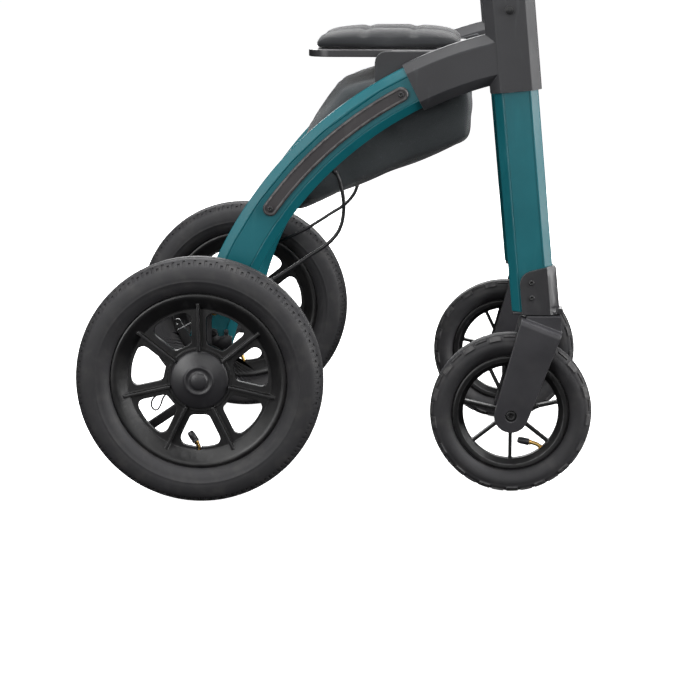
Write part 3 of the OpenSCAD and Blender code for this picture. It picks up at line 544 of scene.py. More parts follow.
class WALKING_FRAME_OT_finishes(bpy.types.Operator):
    """Makes the materials of all pieces"""

    bl_idname = "walking_frame.finishes"
    bl_label = "Finishes"

    def execute(self, context):
        coat, cloth = context.scene.walker_coats, context.scene.walker_cloth
        black = coat.moulding
        # lighter tones for scuffs and for the marked edges, strip crest and lug tops: real wear, and on the
        # marked places also a painted highlight
        pale_wear_and_highlight = (0.20, 0.21, 0.22, 1)
        grey_wear_and_highlight = (0.075, 0.075, 0.078, 1)
        teal_wear_and_highlight, brass_wear_and_highlight = (0.03, 0.20, 0.23, 1), (0.85, 0.62, 0.28, 1)
        hard_finish("frame_teal", coat.tube, 0.34, 1500.0, 0.05, teal_wear_and_highlight, spread=0.07, level=0.42)
        hard_finish("joint_grey", coat.joint, 0.5, 2200.0, 0.12, pale_wear_and_highlight)
        hard_finish("strip_grey", coat.strip, 0.38, 2600.0, 0.08, (0.13, 0.125, 0.12, 1))
        hard_finish("black_plastic", shade(black, 1.6), 0.38, 2400.0, 0.08, grey_wear_and_highlight, level=0.66)
        hard_finish("rim_black", shade(black, 0.35), 0.37, 2000.0, 0.05, grey_wear_and_highlight, dust=0.03, level=0.6)
        hard_finish("fork_black", shade(black, 2.5), 0.40, 2000.0, 0.07, grey_wear_and_highlight, dust=0.03)
        hard_finish("tyre", coat.rubber, 0.62, 1300.0, 0.16, (0.075, 0.073, 0.073, 1), dust=0.10)
        hard_finish("steel", (0.55, 0.55, 0.56, 1), 0.3, 1800.0, 0.02, (0.75, 0.75, 0.76, 1), metallic=1.0)
        hard_finish("dark_steel", (0.012, 0.012, 0.013, 1), 0.42, 1800.0, 0.03, (0.05, 0.05, 0.052, 1))
        hard_finish("valve_brass", coat.brass, 0.3, 1500.0, 0.03, brass_wear_and_highlight, metallic=1.0, spread=0.2)
        hard_finish("cable_black", shade(black, 0.8), 0.34, 900.0, 0.01, grey_wear_and_highlight)
        hard_finish("handle_grey", (0.10, 0.10, 0.11, 1), 0.34, 2600.0, 0.03, pale_wear_and_highlight, metallic=0.6)
        hard_finish("grip_rubber", black, 0.66, 900.0, 0.18, grey_wear_and_highlight, dust=0.04)
        hard_finish("lever_black", black, 0.4, 2200.0, 0.06, pale_wear_and_highlight)
        woven_finish("seat_cover", cloth.seat, cloth.pitch, 0.35)
        woven_finish("bag_cloth", cloth.bag, cloth.pitch, 0.25)
        for obj in frame["nodes"].values():
            obj["slot_name"] = obj.data.materials[0].name
            obj.data.materials[0] = bpy.data.materials[FINISH[obj["slot_name"]]]
        return {"FINISHED"}


# Pieces


class WALKING_FRAME_OT_side_frames(bpy.types.Operator):
    """Legs, uprights, junctions, strips, castor housings and their screws"""

    bl_idname = "walking_frame.side_frames"
    bl_label = "Side frames"

    groove = 1.6 * MM
    lean = math.tan(math.radians(5.5))
    corner_start, corner_long, corner_deep, corner_bow = 4.5 * MM, 14.4 * MM, 12.7 * MM, 0.42
    bow_cuts = (8, 10, 13, 20, 30, 40, 50, 53, 56, 59)
    foot_rim, foot_fade, top_rim, top_fade = 8.0, 5.0, 4.0, 10.0
    arch_middle, arch_radius = (484.23, 82.54), 490.0
    strip_end, strip_boss, strip_steps = 10.0, 0.3, 24
    strip_levels = (
        (9.5, -5.0), (9.5, -2.4), (9.3, -1.5), (8.8, -0.8), (8.0, -0.2),
        (7.3, 0), (6.4, 0), (6.1, -0.2), (5.8, -0.6), (5.3, -0.8),
    )

    def execute(self, context):
        edge = context.scene.walker_coats.edge
        for side, way in SIDES:
            eased(f"rear_leg_{side}", f"arched_leg_{side}", edge, 50, self.groove)
            eased(f"front_upright_{side}", f"upright_{side}", edge, 50, self.groove)
            eased(f"frame_junction_{side}", f"junction_{side}", edge, 50)
            self.strip(side, way)
            self.housing(side, edge * 1.3)
            self.screws(side)
        return {"FINISHED"}

    def housing(self, side, width):
        """Castor housing with bowed front corners between its top and the rim at its foot."""
        node = f"castor_housing_{side}"
        bm = cad_faces(node)
        lo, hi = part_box(node)
        centre, half = (lo.y + hi.y) / 2, (hi.y - lo.y) / 2
        front = max(v.co.x + v.co.z * self.lean for v in bm.verts)
        axis_x = front - self.corner_start - self.corner_long
        axis_y = half - self.corner_deep

        def share(v):
            """How far a vertex is from the corner's axis, to the front and to the side."""
            ahead = (v.co.x + v.co.z * self.lean - axis_x) / self.corner_long
            return ahead, (abs(v.co.y - centre) - axis_y) / self.corner_deep

        def within(v):
            """Whether a vertex belongs to the outer skin of a front corner."""
            ahead, beside = share(v)
            return ahead > -0.02 and beside > -0.02 and math.hypot(ahead, beside) < 1.02

        cuts = [(UP * (lo.z + up * MM), UP) for up in self.bow_cuts]
        upright = Vector((-self.lean, 0, 1))
        for way in (-1, 1):
            axis = Vector((axis_x, centre + way * axis_y, 0))
            for degrees in range(10, 90, 10):
                turn = math.radians(degrees)
                spoke = Vector((self.corner_long * math.cos(turn), way * self.corner_deep * math.sin(turn), 0))
                cuts.append((axis, upright.cross(spoke).normalized()))
        for place, across in cuts:
            slanted = [f for f in bm.faces if f.normal.x > 0.5 and abs(f.normal.y) > 0.5]
            skin = [f for f in slanted if all(within(v) for v in f.verts)]
            edges, corners = (e for f in skin for e in f.edges), (v for f in skin for v in f.verts)
            geom = [*dict.fromkeys((*skin, *edges, *corners))]
            bmesh.ops.bisect_plane(bm, geom=geom, dist=0.01 * MM, plane_co=place, plane_no=across)
        for v in bm.verts:
            if within(v):
                ahead, beside = share(v)
                above_foot = ((v.co.z - lo.z) / MM - self.foot_rim) / self.foot_fade
                below_top = ((hi.z - v.co.z) / MM - self.top_rim) / self.top_fade
                bow = self.corner_bow * max(0.0, min(1.0, above_foot, below_top))
                bow *= 1 / math.hypot(ahead, beside) - 1
                v.co.x += bow * ahead * self.corner_long
                v.co.y += math.copysign(bow * beside * self.corner_deep, v.co.y - centre)
        ease_edges(bm, width, 56)
        settled(bm, node, f"housing_{side}")

    def strip(self, side, way):
        """Strip that follows the leg, with a rounded border, round ends and a sunk middle."""
        node = f"leg_strip_{side}"
        old = cad_mesh(node)
        middle = point(self.arch_middle[0], 0, self.arch_middle[1])
        turns = [math.atan2(middle.x - v.co.x, v.co.z - middle.z) for v in old.verts]
        top = max(abs(v.co.y) for v in old.verts) / MM - self.strip_boss
        old.free()
        ends = self.strip_end / self.arch_radius
        low, high = max(turns) - ends, min(turns) + ends
        bm = bmesh.new()
        worn = bm.verts.layers.float.new("worn")
        rings = []
        for width, sunk in self.strip_levels:
            ring = []
            for k in range(4 * self.strip_steps):
                part, step = divmod(k, self.strip_steps)
                share = step / self.strip_steps
                turn = (low + (high - low) * share, high, high + (low - high) * share, low)[part]
                bow = (0, share * math.pi, math.pi, (1 + share) * math.pi)[part]
                out, along = (-math.sin(turn), math.cos(turn)), (math.cos(turn), math.sin(turn))
                far, near = self.arch_radius + width * math.cos(bow), width * math.sin(bow)
                x, z = (self.arch_middle[i] + far * out[i] + near * along[i] for i in (0, 1))
                ring.append(bm.verts.new(point(x, top + sunk, z, way)))
                # the border's crest is marked for the lighter edge tone: a painted highlight along the rounded
                # border, with rubbed wear
                ring[-1][worn] = 0.8 if sunk in (0, -0.2) else 0.0
            rings.append(ring)
        for one, two in zip(rings, rings[1:]):
            for k in range(len(one)):
                bm.faces.new((one[k - 1], one[k], two[k], two[k - 1]))
        bm.faces.new(rings[0])
        bm.faces.new(rings[-1])
        bmesh.ops.recalc_face_normals(bm, faces=bm.faces)
        settled(bm, node, f"strip_{side}", 50)

    def screws(self, side):
        """Socket screws and the handle's button, where the CAD has them."""
        node = f"frame_screws_{side}"
        old, bm = cad_mesh(node), bmesh.new()
        seen = set()
        for first in old.verts:
            if first in seen:
                continue
            seen.add(first)
            solid = [first]
            for v in solid:
                fresh = [n for n in (e.other_vert(v) for e in v.link_edges) if n not in seen]
                seen.update(fresh)
                solid += fresh
            self.screw(bm, [v.co for v in solid])
        old.free()
        ease_edges(bm, 0.35 * MM)
        piece(bm, f"screws_{side}", node, crease=32)

    def screw(self, bm, cloud):
        """One screw along Y whose head is at the wider end."""
        centre = Vector([(min(c[i] for c in cloud) + max(c[i] for c in cloud)) / 2 for i in range(3)])
        low, high = min(c.y for c in cloud), max(c.y for c in cloud)
        reach = [
            max(math.hypot(c.x - centre.x, c.z - centre.z) for c in cloud if abs(c.y - end) < 0.6 * MM)
            for end in (low, high)
        ]
        head = max(reach) / MM
        end, way = (low, -1) if reach[0] > reach[1] else (high, 1)
        length = (high - low) / MM
        shank = min(min(reach) / MM, head * 0.6)
        seat = Vector((centre.x, end, centre.z))
        profile = [(0, -length), (shank, -length), (shank, -2.4), (head, -2.4), (head, -1.1)]
        profile += [(head * 0.86, -0.3), (head * 0.55, 0), (head * 0.5, -0.15), (head * 0.46, -1.6), (0, -1.9)]
        turned(bm, profile, seat, ACROSS * way, 24)


class WALKING_FRAME_OT_rear_wheels(bpy.types.Operator):
    """Rear tyres, rims, hub caps and valves"""

    bl_idname = "walking_frame.rear_wheels"
    bl_label = "Rear wheels"

    section = (
        (0.0, 0.14), (0.031, 0.18), (0.031, 0.25), (0.009, 0.29), (0.024, 0.44), (0.05, 0.6),
        (0.105, 0.75), (0.19, 0.868), (0.22, 0.907), (0.3, 0.953), (0.374, 0.982), (0.48, 0.998),
        (0.55, 1.0), (0.59, 0.99), (0.605, 0.997), (0.63, 0.99), (0.645, 0.968), (0.725, 0.943),
        (0.8, 0.88), (0.88, 0.786), (0.93, 0.69), (0.967, 0.6),
    )
    bead = ((112.3, 12.0), (103.7, 10.6), (101.9, 8.6), (101.9, 5.0))
    flange = 112.0
    stem = {"angle": 269.0, "seat": 101.0, "elbow": 88.0, "lean": 33.0, "neck": 10.0}
    cap_profile = (
        (0, 9.6), (9, 7.6), (18, 6.0), (32.5, 1.6), (32.5, 0), (37.0, 0), (37.4, 0.5), (37.4, 1.8),
        (36.6, 3.0), (34.5, 4.0), (30.0, 5.6), (25.0, 7.1), (20.6, 8.2), (19.3, 8.7), (18.6, 9.4),
        (17.6, 9.75), (16.4, 9.7), (15.4, 9.3), (14.4, 8.9), (12.0, 8.9), (11.4, 9.2), (11.0, 10.0),
        (10.0, 10.8), (8.0, 11.5), (5.0, 12.05), (2.5, 12.3), (0, 12.4),
    )

    def execute(self, context):
        settings = context.scene.walker_wheels
        for side, way in SIDES:
            axle = PIVOT[f"rear_wheel_spin_{side}"]
            steps = settings.rear_notches * 2
            tyre(self, "rear", side, axle, steps, -settings.notch_depth, self.notched)
            eased(f"rear_rim_{side}", f"rim_rear_{side}", settings.edge)
            self.cap(side, way, axle)
            valve("rear", side, axle, **self.stem)
        return {"FINISHED"}

    @staticmethod
    def notched(step, depth, width):
        """Whether the tread is cut here: long and short notches take turns."""
        if step % 4 == 0:
            return 0.05 < depth < 0.19 and 0.6 < width < 0.87
        return step % 4 == 2 and 0.105 < depth < 0.19 and 0.75 < width < 0.87

    def cap(self, side, way, axle):
        """Domed cap with a ring and a small dome in its middle."""
        node = f"hub_cap_{side}"
        lo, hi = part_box(node)
        inner = min(abs(lo.y), abs(hi.y))
        seat = Vector((axle.x, way * inner, axle.z))
        bm = bmesh.new()
        turned(bm, self.cap_profile, seat, ACROSS * way, 96)
        piece(bm, f"cap_rear_{side}", node, crease=45)


def tyre(wheel, which, side, axle, steps, height, chosen):
    """A tyre turned from the wheel's section, which is in shares of depth and half width, with its tread."""
    node = f"{which}_tyre_{side}"
    lo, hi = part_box(node)
    crown, half = (hi.z - lo.z) / 2 / MM, (hi.y - lo.y) / 2 / MM
    outer = [(crown - d * (crown - wheel.flange), w * half) for d, w in wheel.section] + [*wheel.bead]
    bm = bmesh.new()
    turned(bm, outer + [(r, -a) for r, a in reversed(outer)], axle, ACROSS, steps, closed=True)
    tread(bm, axle, crown, wheel.flange, half, steps, height, chosen)
    piece(bm, f"tyre_{which}_{side}", node)


def tread(bm, axle, crown, flange, half, steps, height, chosen):
    """Raises the faces that the tread's rule chooses, or sinks them, and marks raised ones for the lighter
    tone of rubbed wear and a painted highlight.
    """
    out = ACROSS.orthogonal().normalized()
    ahead = ACROSS.cross(out)
    picked = []
    for face in bm.faces:
        place = (face.calc_center_median() - axle) / MM
        turn = math.atan2(place.dot(ahead), place.dot(out)) % (2 * math.pi)
        depth = (crown - math.hypot(place.dot(ahead), place.dot(out))) / (crown - flange)
        if chosen(int(turn / (2 * math.pi) * steps), depth, abs(place.y) / half):
            picked.append(face)
    bmesh.ops.inset_region(bm, faces=picked, thickness=0.5 * MM, depth=height, use_even_offset=True)
    worn = bm.verts.layers.float.new("worn")
    # raised lug tops are marked so the finish paints them lighter: wear on the lands and a painted highlight
    # on the lugs
    if height > 0:
        for v in {v for f in picked for v in f.verts}:
            v[worn] = 1.0


def valve(which, side, axle, angle, seat, elbow, lean, neck):
    """Brass stem that bends out of the rim, with a nut and a black cap."""
    a, b = math.radians(angle), math.radians(angle + 180 + lean)
    out, along = Vector((math.cos(a), 0, math.sin(a))), Vector((math.cos(b), 0, math.sin(b)))
    knee = axle + out * (elbow * MM)
    bm = bmesh.new()
    route = [axle + out * (seat * MM), knee + out * (8 * MM), knee + out * (2.5 * MM) + along * (0.6 * MM)]
    route += [knee + along * (4 * MM) + out * (0.3 * MM), knee + along * ((neck + 1) * MM)]
    tube(bm, route, 2.7)
    nut = [(0, 4), (4.2, 4), (4.4, 3.6), (4.4, 0.4), (4.2, 0), (0, 0)]
    turned(bm, nut, knee + out * (5 * MM), out, 6)
    collar = [(0, 2.4), (3.5, 2.4), (3.5, -1.5), (3.1, -2.2), (0, -2.2)]
    turned(bm, collar, knee + along * ((neck - 3) * MM), along, 20)
    node = f"{which}_valve_{side}"
    piece(bm, f"valve_{which}_{side}", node)
    bm = bmesh.new()
    mouth = knee + along * (neck * MM)
    profile = [(0, -2), (4.3, -2), (4.7, -1.5), (4.7, 0.2), (4.4, 0.6), (4.5, 1.0)]
    profile += [(4.6, 9.0), (4.2, 10.6), (3.6, 12.2), (3.0, 12.9), (0, 13.2)]
    turned(bm, profile, mouth, along, 36)
    ribs = [f for f in bm.faces if 2 * MM < (f.calc_center_median() - mouth).dot(along) < 8 * MM]
    bmesh.ops.inset_individual(bm, faces=ribs[::2], thickness=0.12 * MM, depth=-0.25 * MM)
    piece(bm, f"valve_cap_{which}_{side}", node, "black_plastic")


class WALKING_FRAME_OT_front_wheels(bpy.types.Operator):
    """Castor forks, front tyres, rims, axles and valves"""

    bl_idname = "walking_frame.front_wheels"
    bl_label = "Front wheels"

    section = (
        (0.0, 0.14), (0.014, 0.333), (0.038, 0.49), (0.075, 0.53), (0.088, 0.61), (0.085, 0.655),
        (0.153, 0.806), (0.27, 0.93), (0.3, 0.925), (0.36, 0.958), (0.458, 1.0), (0.56, 0.985),
        (0.627, 0.961), (0.72, 0.895), (0.797, 0.822), (0.87, 0.72), (0.915, 0.644),
    )
    bead = ((75.4, 8.28), (67.9, 7.38), (66.4, 5.94), (66.4, 3.0))
    flange = 75.0
    stem = {"angle": 310.0, "seat": 66.0, "elbow": 56.0, "lean": 38.5, "neck": 14.0}
    gap_share = 6
    bolt_sunk = 1.6

    def execute(self, context):
        settings = context.scene.walker_wheels
        for side, _ in SIDES:
            axle = PIVOT[f"front_wheel_spin_{side}"]
            steps = settings.front_lugs * self.gap_share
            tyre(self, "front", side, axle, steps, settings.lug_height, self.block)
            eased(f"front_rim_{side}", f"rim_front_{side}", settings.edge)
            eased(f"castor_fork_{side}", f"fork_{side}", settings.edge * 1.6)
            valve("front", side, axle, **self.stem)
            self.bolt(side, axle)
        return {"FINISHED"}

    def block(self, step, depth, width):
        """Whether this is part of a raised block: wide and narrow ones take turns."""
        lug, part = divmod(step, self.gap_share)
        return part > 0 and 0.085 < depth < (0.27, 0.15)[lug % 2] and 0.655 < width < 0.93

    def bolt(self, side, axle):
        """Axle with spacers and a socket head sunk in the fork at both ends."""
        node = f"front_axle_{side}"
        lo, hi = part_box(node)
        half = (hi.y - lo.y) / 2 / MM - self.bolt_sunk
        head = [(0, -5.2), (2.9, -5.0), (3.1, -0.4), (3.6, 0), (5.6, 0)]
        head += [(6.6, -0.7), (6.9, -1.4), (6.9, -3), (4, -3)]
        spacer = [(4, 21.8), (6, 21.8), (6, 20), (4, 20)]
        outer = [(r, half + a) for r, a in head] + spacer
        bm = bmesh.new()
        turned(bm, outer + [(r, -a) for r, a in reversed(outer)], axle, ACROSS, 36)
        piece(bm, f"axle_front_{side}", node)


class WALKING_FRAME_OT_brakes(bpy.types.Operator):
    """Axle blocks with their foot levers, brake plates, arms and cables"""

    bl_idname = "walking_frame.brakes"
    bl_label = "Brakes"

    route = (
        (160.8, 212, 422.2), (167, 212, 415.6), (171.5, 212, 409), (175.5, 211, 397), (178.5, 210, 381),
        (179, 208, 364), (174.5, 207, 342), (166, 206, 328.5), (154, 206, 317.5), (139, 207, 308),
        (118, 211, 294), (94, 218, 279), (70, 229, 266.5), (48, 242.5, 255.3), (24, 245.5, 242.76),
    )
    stop = (6, 245.5, 233.5)
    rise = math.radians(27.2)
    clamp_outline = (
        (7, 189), (36, 187), (36.5, 203), (31.5, 205), (31.5, 212),
        (26.5, 212.5), (26, 204), (19, 203), (17, 212), (8, 215),
    )
    clamp_from, clamp_to = 230.9, 237.0
    clamp_bolts = ((12.5, 208.5, 5.0), (29, 208.5, 2.6))
    loop = (
        (-36, 247, 139.5), (-46, 247, 132), (-52.5, 247, 124.5), (-56.5, 247, 114), (-61.8, 247, 108.2),
        (-67, 247, 111.5), (-67.8, 247, 118), (-62.6, 247, 126.5), (-52, 247, 135.5), (-40, 247, 143),
    )
    loop_wire, sheath, bare_wire = 1.1, 2.5, 0.8

    def execute(self, context):
        edge = context.scene.walker_coats.edge
        for side, way in SIDES:
            eased(f"axle_block_{side}", f"block_{side}", edge * 1.8)
            eased(f"brake_plate_{side}", f"plate_{side}", edge)
            eased(f"brake_arm_{side}", f"arm_{side}", edge * 0.7)
            self.cable(side, way)
            self.clamp(side, way)
            bm = bmesh.new()
            tube(bm, [point(*p, way) for p in self.loop], self.loop_wire)
            piece(bm, f"wire_loop_{side}", f"brake_plate_{side}", "dark_steel")
        return {"FINISHED"}

    def clamp(self, side, way):
        """Clamp on the leg's foot with a nut and a bolt."""
        node = f"axle_block_{side}"
        bm = bmesh.new()
        face = bm.faces.new([bm.verts.new(point(x, self.clamp_from, z, way)) for x, z in self.clamp_outline])
        wall = bmesh.ops.extrude_face_region(bm, geom=[face])["geom"]
        reach = ACROSS * (way * (self.clamp_to - self.clamp_from) * MM)
        bmesh.ops.translate(bm, verts=[g for g in wall if isinstance(g, bmesh.types.BMVert)], vec=reach)
        bmesh.ops.recalc_face_normals(bm, faces=bm.faces)
        ease_edges(bm, 1.2 * MM)
        piece(bm, f"foot_clamp_{side}", node, slot_of(node))
        bm = bmesh.new()
        for x, z, head in self.clamp_bolts:
            profile = [(0, 0), (head, 0), (head, 2.4), (head * 0.8, 3.2)]
            profile += [(head * 0.55, 3.2), (head * 0.5, 1.2), (0, 1.0)]
            turned(bm, profile, point(x, self.clamp_to - 0.6, z, way), ACROSS * way, 24)
        piece(bm, f"foot_bolts_{side}", node, "dark_steel")

    def cable(self, side, way):
        """Sheath with ferrules, and the brass adjuster with the bare wire."""
        node = f"brake_cable_{side}"
        route = [point(*p, way) for p in self.route]
        bm = bmesh.new()
        tube(bm, route, self.sheath)
        first = (route[1] - route[0]).normalized()
        outlet = [(2.4, 0), (3.6, 0), (3.9, 0.5), (3.6, 3.5), (3.1, 6.5), (2.4, 7)]
        turned(bm, outlet, route[0] + first * (8 * MM), first, 20)
        last = (route[-1] - route[-2]).normalized()
        ferrule = [(2.4, -1), (3.1, -1), (3.3, -0.4), (3.3, 9), (2.4, 9)]
        turned(bm, ferrule, route[-1] - last * (9 * MM), last, 20)
        piece(bm, f"sheath_{side}", node)
        along = Vector((math.cos(self.rise), 0, math.sin(self.rise)))
        seat = point(*self.stop, way)
        bm = bmesh.new()
        thread = [(0, -11)]
        for turn in range(9):
            thread += [(2.9, -11 + turn), (3.4, -10.5 + turn)]
        thread += [(3.3, -2), (3.3, 7), (4.6, 7), (5.2, 7.4), (5.2, 11.6)]
        thread += [(4.6, 12), (3.4, 12.4), (3.2, 19.6), (2.6, 20), (0, 20)]
        turned(bm, thread, seat, along, 28)
        grips = [f for f in bm.faces if 8 * MM < (f.calc_center_median() - seat).dot(along) < 11 * MM]
        bmesh.ops.inset_individual(bm, faces=grips[::2], thickness=0.1 * MM, depth=-0.3 * MM)
        piece(bm, f"adjuster_{side}", node, "valve_brass")
        bm = bmesh.new()
        wire = [(0, -44), (self.bare_wire, -44), (self.bare_wire, -4), (0, -4)]
        turned(bm, wire, seat, along, 12)
        piece(bm, f"wire_{side}", node, "steel")


class WALKING_FRAME_OT_handles(bpy.types.Operator):
    """Grips and brake levers on the handle tubes"""

    bl_idname = "walking_frame.handles"
    bl_label = "Handles"

    rise = math.radians(4)
    pivot_back, pivot_drop, start = 8.0, 27.0, 22.0
    ribs, rib_pitch, rib_depth = 13, 6.4, 0.9
    collar = ((12.65, 0), (18.6, 0), (19.8, 1.0), (19.8, 3.2), (18.4, 4.8), (16.6, 8.6), (16.2, 12))
    end = (
        (16.4, 102), (16.8, 112), (16.6, 117), (15.4, 121.5), (13.0, 124.2),
        (9.0, 125), (0, 125), (0, 121.4), (12.65, 121.4),
    )

    def execute(self, context):
        edge = context.scene.walker_coats.edge
        along = Vector((-math.cos(self.rise), 0, math.sin(self.rise)))
        above = Vector((math.sin(self.rise), 0, math.cos(self.rise)))
        up_to_grip = above * (self.pivot_drop * MM)
        for side, _ in SIDES:
            node = f"grip_{side}"
            seat = PIVOT[f"brake_squeeze_{side}"] + up_to_grip + along * ((self.start - self.pivot_back) * MM)
            bm = bmesh.new()
            turned(bm, self.grip_profile(), seat, along, 48)
            piece(bm, f"handgrip_{side}", node)
            eased(f"brake_lever_{side}", f"lever_{side}", edge * 2.2)
        return {"FINISHED"}

    def grip_profile(self):
        """Collar, ribs that swell towards the middle of the hand, and a rounded end."""
        profile = [*self.collar]
        for rib in range(self.ribs):
            at = 16 + rib * self.rib_pitch
            swell = 16.4 + math.sin(math.pi * (at - 12) / 92)
            profile += [(swell - self.rib_depth, at), (swell - self.rib_depth, at + 1.2)]
            profile += [(swell, at + 2.0), (swell + 0.1, at + 4.0), (swell, at + 5.6)]
        return [*profile, *self.end]


class WALKING_FRAME_OT_seat(bpy.types.Operator):
    """Seat panels, swollen cushions and the folding brace"""

    bl_idname = "walking_frame.seat"
    bl_label = "Seat"

    before_swelling = (0.965, 0.955, 0.8)
    voxel, pressure, fill = 5 * MM, 4.0, 0.75
    channels, channel_width, channel_depth = (0.34, 0.67), 4.5 * MM, 3.2 * MM

    def execute(self, context):
        edge = context.scene.walker_coats.edge
        swell = context.scene.walker_cloth.swell
        for side, _ in SIDES:
            eased(f"seat_panel_{side}", f"panel_{side}", edge)
            eased(f"brace_{side}", f"cross_brace_{side}", edge)
            self.cushion(side, swell)
        return {"FINISHED"}

    def cushion(self, side, swell):
        """A cover swollen by its filling, flat underneath, with two sewn channels."""
        node = f"seat_cushion_{side}"
        lo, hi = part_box(node)
        bm = cad_mesh(node)
        centre = (lo + hi) / 2
        centre.z = lo.z
        bmesh.ops.scale(bm, verts=bm.verts, vec=self.before_swelling, space=Matrix.Translation(-centre))
        obj = padded_cover(bm, f"cushion_{side}", self.voxel, swell, self.pressure, held_below=lo.z + 1.5 * MM)
        middle = (lo.z + hi.z) / 2 - 1 * MM
        for v in obj.data.vertices:
            v.co.z = max(v.co.z, lo.z + 0.1 * MM)
            for share in self.channels:
                away = (v.co.x - (lo.x + (hi.x - lo.x) * share)) / self.channel_width
                if v.co.z > middle:
                    fade = min(1, (v.co.z - middle) / (6 * MM))
                    v.co.z -= self.channel_depth * math.exp(-away * away) * fade
        finish_cover(obj, node)


def padded_cover(bm, name, voxel, swell, pressure, held_below=-math.inf, gravity=0.0, frames=20):
    """Remeshes a closed shape evenly and lets the pressure of its filling swell it."""
    mesh = bpy.data.meshes.new(name)
    bm.to_mesh(mesh)
    bm.free()
    obj = bpy.data.objects.new(name, mesh)
    bpy.context.scene.collection.objects.link(obj)
    remesh = obj.modifiers.new("even", "REMESH")
    remesh.mode, remesh.voxel_size = "VOXEL", voxel
    bake_modifiers(obj)
    start = [v.co.copy() for v in obj.data.vertices]
    group = obj.vertex_groups.new(name="held")
    group.add([i for i, co in enumerate(start) if co.z < held_below], 1.0, "REPLACE")
    cloth = obj.modifiers.new("swell", "CLOTH")
    cloth.settings.vertex_group_mass = "held"
    cloth.settings.use_pressure = True
    cloth.settings.uniform_pressure_force = pressure
    cloth.settings.effector_weights.gravity = gravity
    cloth.collision_settings.use_collision = False
    for step in range(1, frames + 1):
        bpy.context.scene.frame_set(step)
    bake_modifiers(obj)
    bpy.context.scene.frame_set(1)
    obj.vertex_groups.clear()
    for v, old in zip(obj.data.vertices, start):
        move = v.co - old
        if move.length > swell:
            v.co = old + move * (swell / move.length)
    return obj


def bake_modifiers(obj):
    """Applies the modifiers to the mesh."""
    done = bpy.data.meshes.new_from_object(obj.evaluated_get(bpy.context.evaluated_depsgraph_get()))
    obj.modifiers.clear()
    old, obj.data = obj.data, done
    bpy.data.meshes.remove(old)


def finish_cover(obj, node):
    """Smooths a cover and puts it in its CAD node's place."""
    obj.data.shade_smooth()
    smooth = obj.modifiers.new("smooth", "SUBSURF")
    smooth.levels = smooth.render_levels = 1
    dress(obj, node)


class WALKING_FRAME_OT_bag(bpy.types.Operator):
    """Bag that sags between the side frames"""

    bl_idname = "walking_frame.bag"
    bl_label = "Bag"

    before_swelling = (1.005, 0.975, 0.99)
    voxel, swell, pressure, gravity, frames = 8 * MM, 6 * MM, 1.0, 0.1, 16
    drop, drop_depth, drop_reach = Vector((-0.916, 0, -0.401)), 13 * MM, 60 * MM
    fold_height, folded_share = 1.6 * MM, 0.27

    def execute(self, context):
        lo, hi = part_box("bag")
        bm = cad_mesh("bag")
        hung = Vector(((lo.x + hi.x) / 2, 0, hi.z - 20 * MM))
        bmesh.ops.scale(bm, verts=bm.verts, vec=self.before_swelling, space=Matrix.Translation(-hung))
        obj = padded_cover(
            bm, "bag_shell", self.voxel, self.swell, self.pressure, gravity=self.gravity, frames=self.frames
        )
        half = hi.y - 0.3 * MM
        for v in obj.data.vertices:
            v.co.y = max(-half, min(half, v.co.y))
            v.co.z = min(v.co.z, hi.z)
            near = max(0.0, 1 - math.hypot(v.co.x - lo.x, v.co.z - lo.z) / self.drop_reach)
            v.co += self.drop * (self.drop_depth * near * near)
            fold = math.sin(v.co.y * 38 + v.co.x * 55) * math.sin(v.co.z * 70 + v.co.y * 21)
            v.co += v.normal * (self.fold_height * fold)
            v.co.y = max(-half, min(half, v.co.y))
        finish_cover(obj, "bag")
        bpy.context.view_layer.update()
        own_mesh(obj)
        return {"FINISHED"}


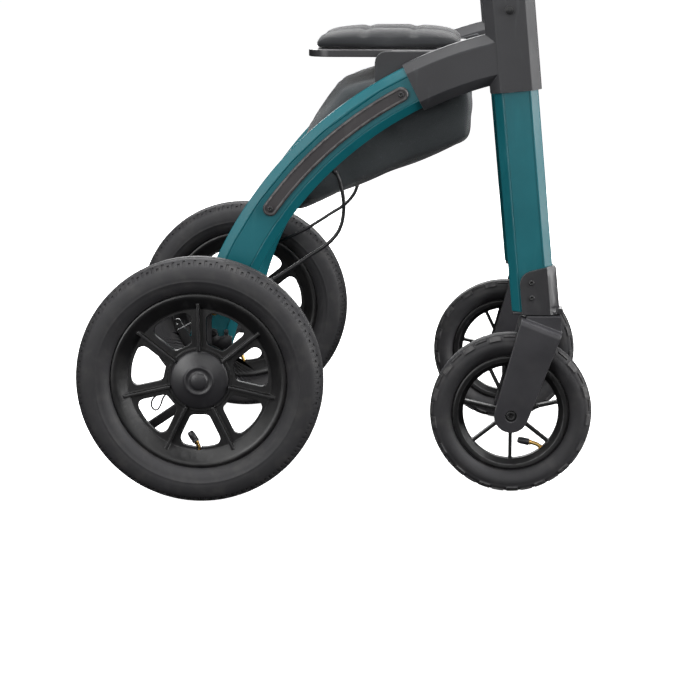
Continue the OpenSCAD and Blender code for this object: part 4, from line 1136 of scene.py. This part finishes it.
class WALKING_FRAME_OT_stage(bpy.types.Operator):
    """Pale floor, soft studio light and the camera"""

    bl_idname = "walking_frame.stage"
    bl_label = "Stage"

    floor_half, backdrop_radius, sight = 40.0, 39.0, 200.0
    aim = Vector((0, 0, 0.3))
    lights = (
        ("upper_left_light", (-1.5, -1.9, 2.5), (1.6, 1.6), "key", 1.0),
        ("front_light", (0.3, -3.6, 1.0), (1.6, 1.6), "key", 1.0),
        ("left_light", (-1.6, -2.4, 0.9), (1.2, 1.6), "key", 2.0),
        ("right_light", (1.6, -2.6, 1.6), (1.2, 1.6), "key", 0.75),
        ("far_left_light", (-2.2, -0.6, 1.6), (1.0, 1.6), "key", 0.9),
        ("side_light", (2.3, -0.75, 0.9), (0.8, 1.8), "side", 1.0),
        ("top_light", (0.1, -0.4, 3.0), (2.2, 1.4), "top", 1.0),
        ("back_light", (0.0, 2.8, 1.4), (2.4, 1.6), "back", 1.0),
    )

    def execute(self, context):
        scene, studio = context.scene, context.scene.walker_studio
        scene.view_settings.view_transform = "Standard"
        self.ground(scene, studio)
        self.light(scene, studio)
        self.camera(scene, studio)
        return {"FINISHED"}

    def ground(self, scene, studio):
        """Floor and backdrop, bright by themselves and unseen by the object's own light."""
        material, tree, shader, coord = new_finish("studio_floor")
        speckle = noise(tree, coord, 3.0, 4.0)
        tone = mix(tree, speckle, (0.93, 0.93, 0.93, 1), (0.96, 0.96, 0.96, 1))
        tree.links.new(tone, shader.inputs["Base Color"])
        tree.links.new(tone, shader.inputs["Emission Color"])
        shader.inputs["Emission Strength"].default_value = studio.floor_glow
        shader.inputs["Roughness"].default_value = 0.9
        for name in ("floor", "backdrop"):
            bm = bmesh.new()
            if name == "floor":
                bmesh.ops.create_grid(bm, x_segments=2, y_segments=2, size=self.floor_half)
            else:
                bmesh.ops.create_uvsphere(bm, u_segments=48, v_segments=24, radius=self.backdrop_radius)
            mesh = bpy.data.meshes.new(name)
            bm.to_mesh(mesh)
            bm.free()
            mesh.shade_smooth()
            mesh.materials.append(material)
            stand = bpy.data.objects.new(name, mesh)
            stand.visible_diffuse = stand.visible_glossy = False
            scene.collection.objects.link(stand)

    def light(self, scene, studio):
        """Even surround and soft lamps, each with its share of a setting's power."""
        world = bpy.data.worlds.new("studio")
        world.use_nodes = True
        surround = world.node_tree.nodes["Background"]
        surround.inputs["Color"].default_value = (1, 1, 1, 1)
        surround.inputs["Strength"].default_value = studio.surround
        scene.world = world
        for name, place, size, setting, share in self.lights:
            lamp = bpy.data.lights.new(name, "AREA")
            lamp.shape, lamp.size, lamp.size_y = "RECTANGLE", *size
            lamp.energy = getattr(studio, setting) * share
            holder = bpy.data.objects.new(name, lamp)
            holder.location = place
            holder.rotation_euler = (self.aim - holder.location).to_track_quat("-Z", "Y").to_euler()
            scene.collection.objects.link(holder)

    def camera(self, scene, studio):
        """Camera at the seen angle, from its place, turn and dip."""
        lens = bpy.data.cameras.new("camera")
        lens.sensor_width, lens.lens = 36.0, studio.lens
        lens.clip_end = self.sight
        camera = bpy.data.objects.new("camera", lens)
        camera.location = studio.place
        level = math.cos(studio.pitch)
        ahead = Vector((math.sin(studio.yaw) * level, math.cos(studio.yaw) * level, -math.sin(studio.pitch)))
        camera.rotation_euler = ahead.to_track_quat("-Z", "Y").to_euler()
        scene.collection.objects.link(camera)
        scene.camera = camera


class WALKING_FRAME_PT_pieces(bpy.types.Panel):
    """Lists the operators that make the pieces"""

    bl_idname = "WALKING_FRAME_PT_pieces"
    bl_label = "Walking frame"
    bl_space_type = "VIEW_3D"
    bl_region_type = "UI"
    bl_category = "Walking frame"

    def draw(self, context):
        for operator in OPERATORS:
            self.layout.operator(operator.bl_idname)


SETTINGS = {
    "walker_wheels": WheelSettings,
    "walker_coats": CoatSettings,
    "walker_cloth": ClothSettings,
    "walker_studio": StudioSettings,
}
OPERATORS = (
    WALKING_FRAME_OT_stage,
    WALKING_FRAME_OT_finishes,
    WALKING_FRAME_OT_side_frames,
    WALKING_FRAME_OT_rear_wheels,
    WALKING_FRAME_OT_front_wheels,
    WALKING_FRAME_OT_brakes,
    WALKING_FRAME_OT_handles,
    WALKING_FRAME_OT_seat,
    WALKING_FRAME_OT_bag,
)


def register():
    for group in (*SETTINGS.values(), *OPERATORS, WALKING_FRAME_PT_pieces):
        bpy.utils.register_class(group)
    for name, group in SETTINGS.items():
        setattr(bpy.types.Scene, name, PointerProperty(type=group))


def unregister():
    for name in SETTINGS:
        delattr(bpy.types.Scene, name)
    for group in reversed((*SETTINGS.values(), *OPERATORS, WALKING_FRAME_PT_pieces)):
        bpy.utils.unregister_class(group)


def main():
    register()
    for operator in OPERATORS:
        family, name = operator.bl_idname.split(".")
        getattr(getattr(bpy.ops, family), name)()
    bpy.context.view_layer.update()


if __name__ == "__main__":
    main()
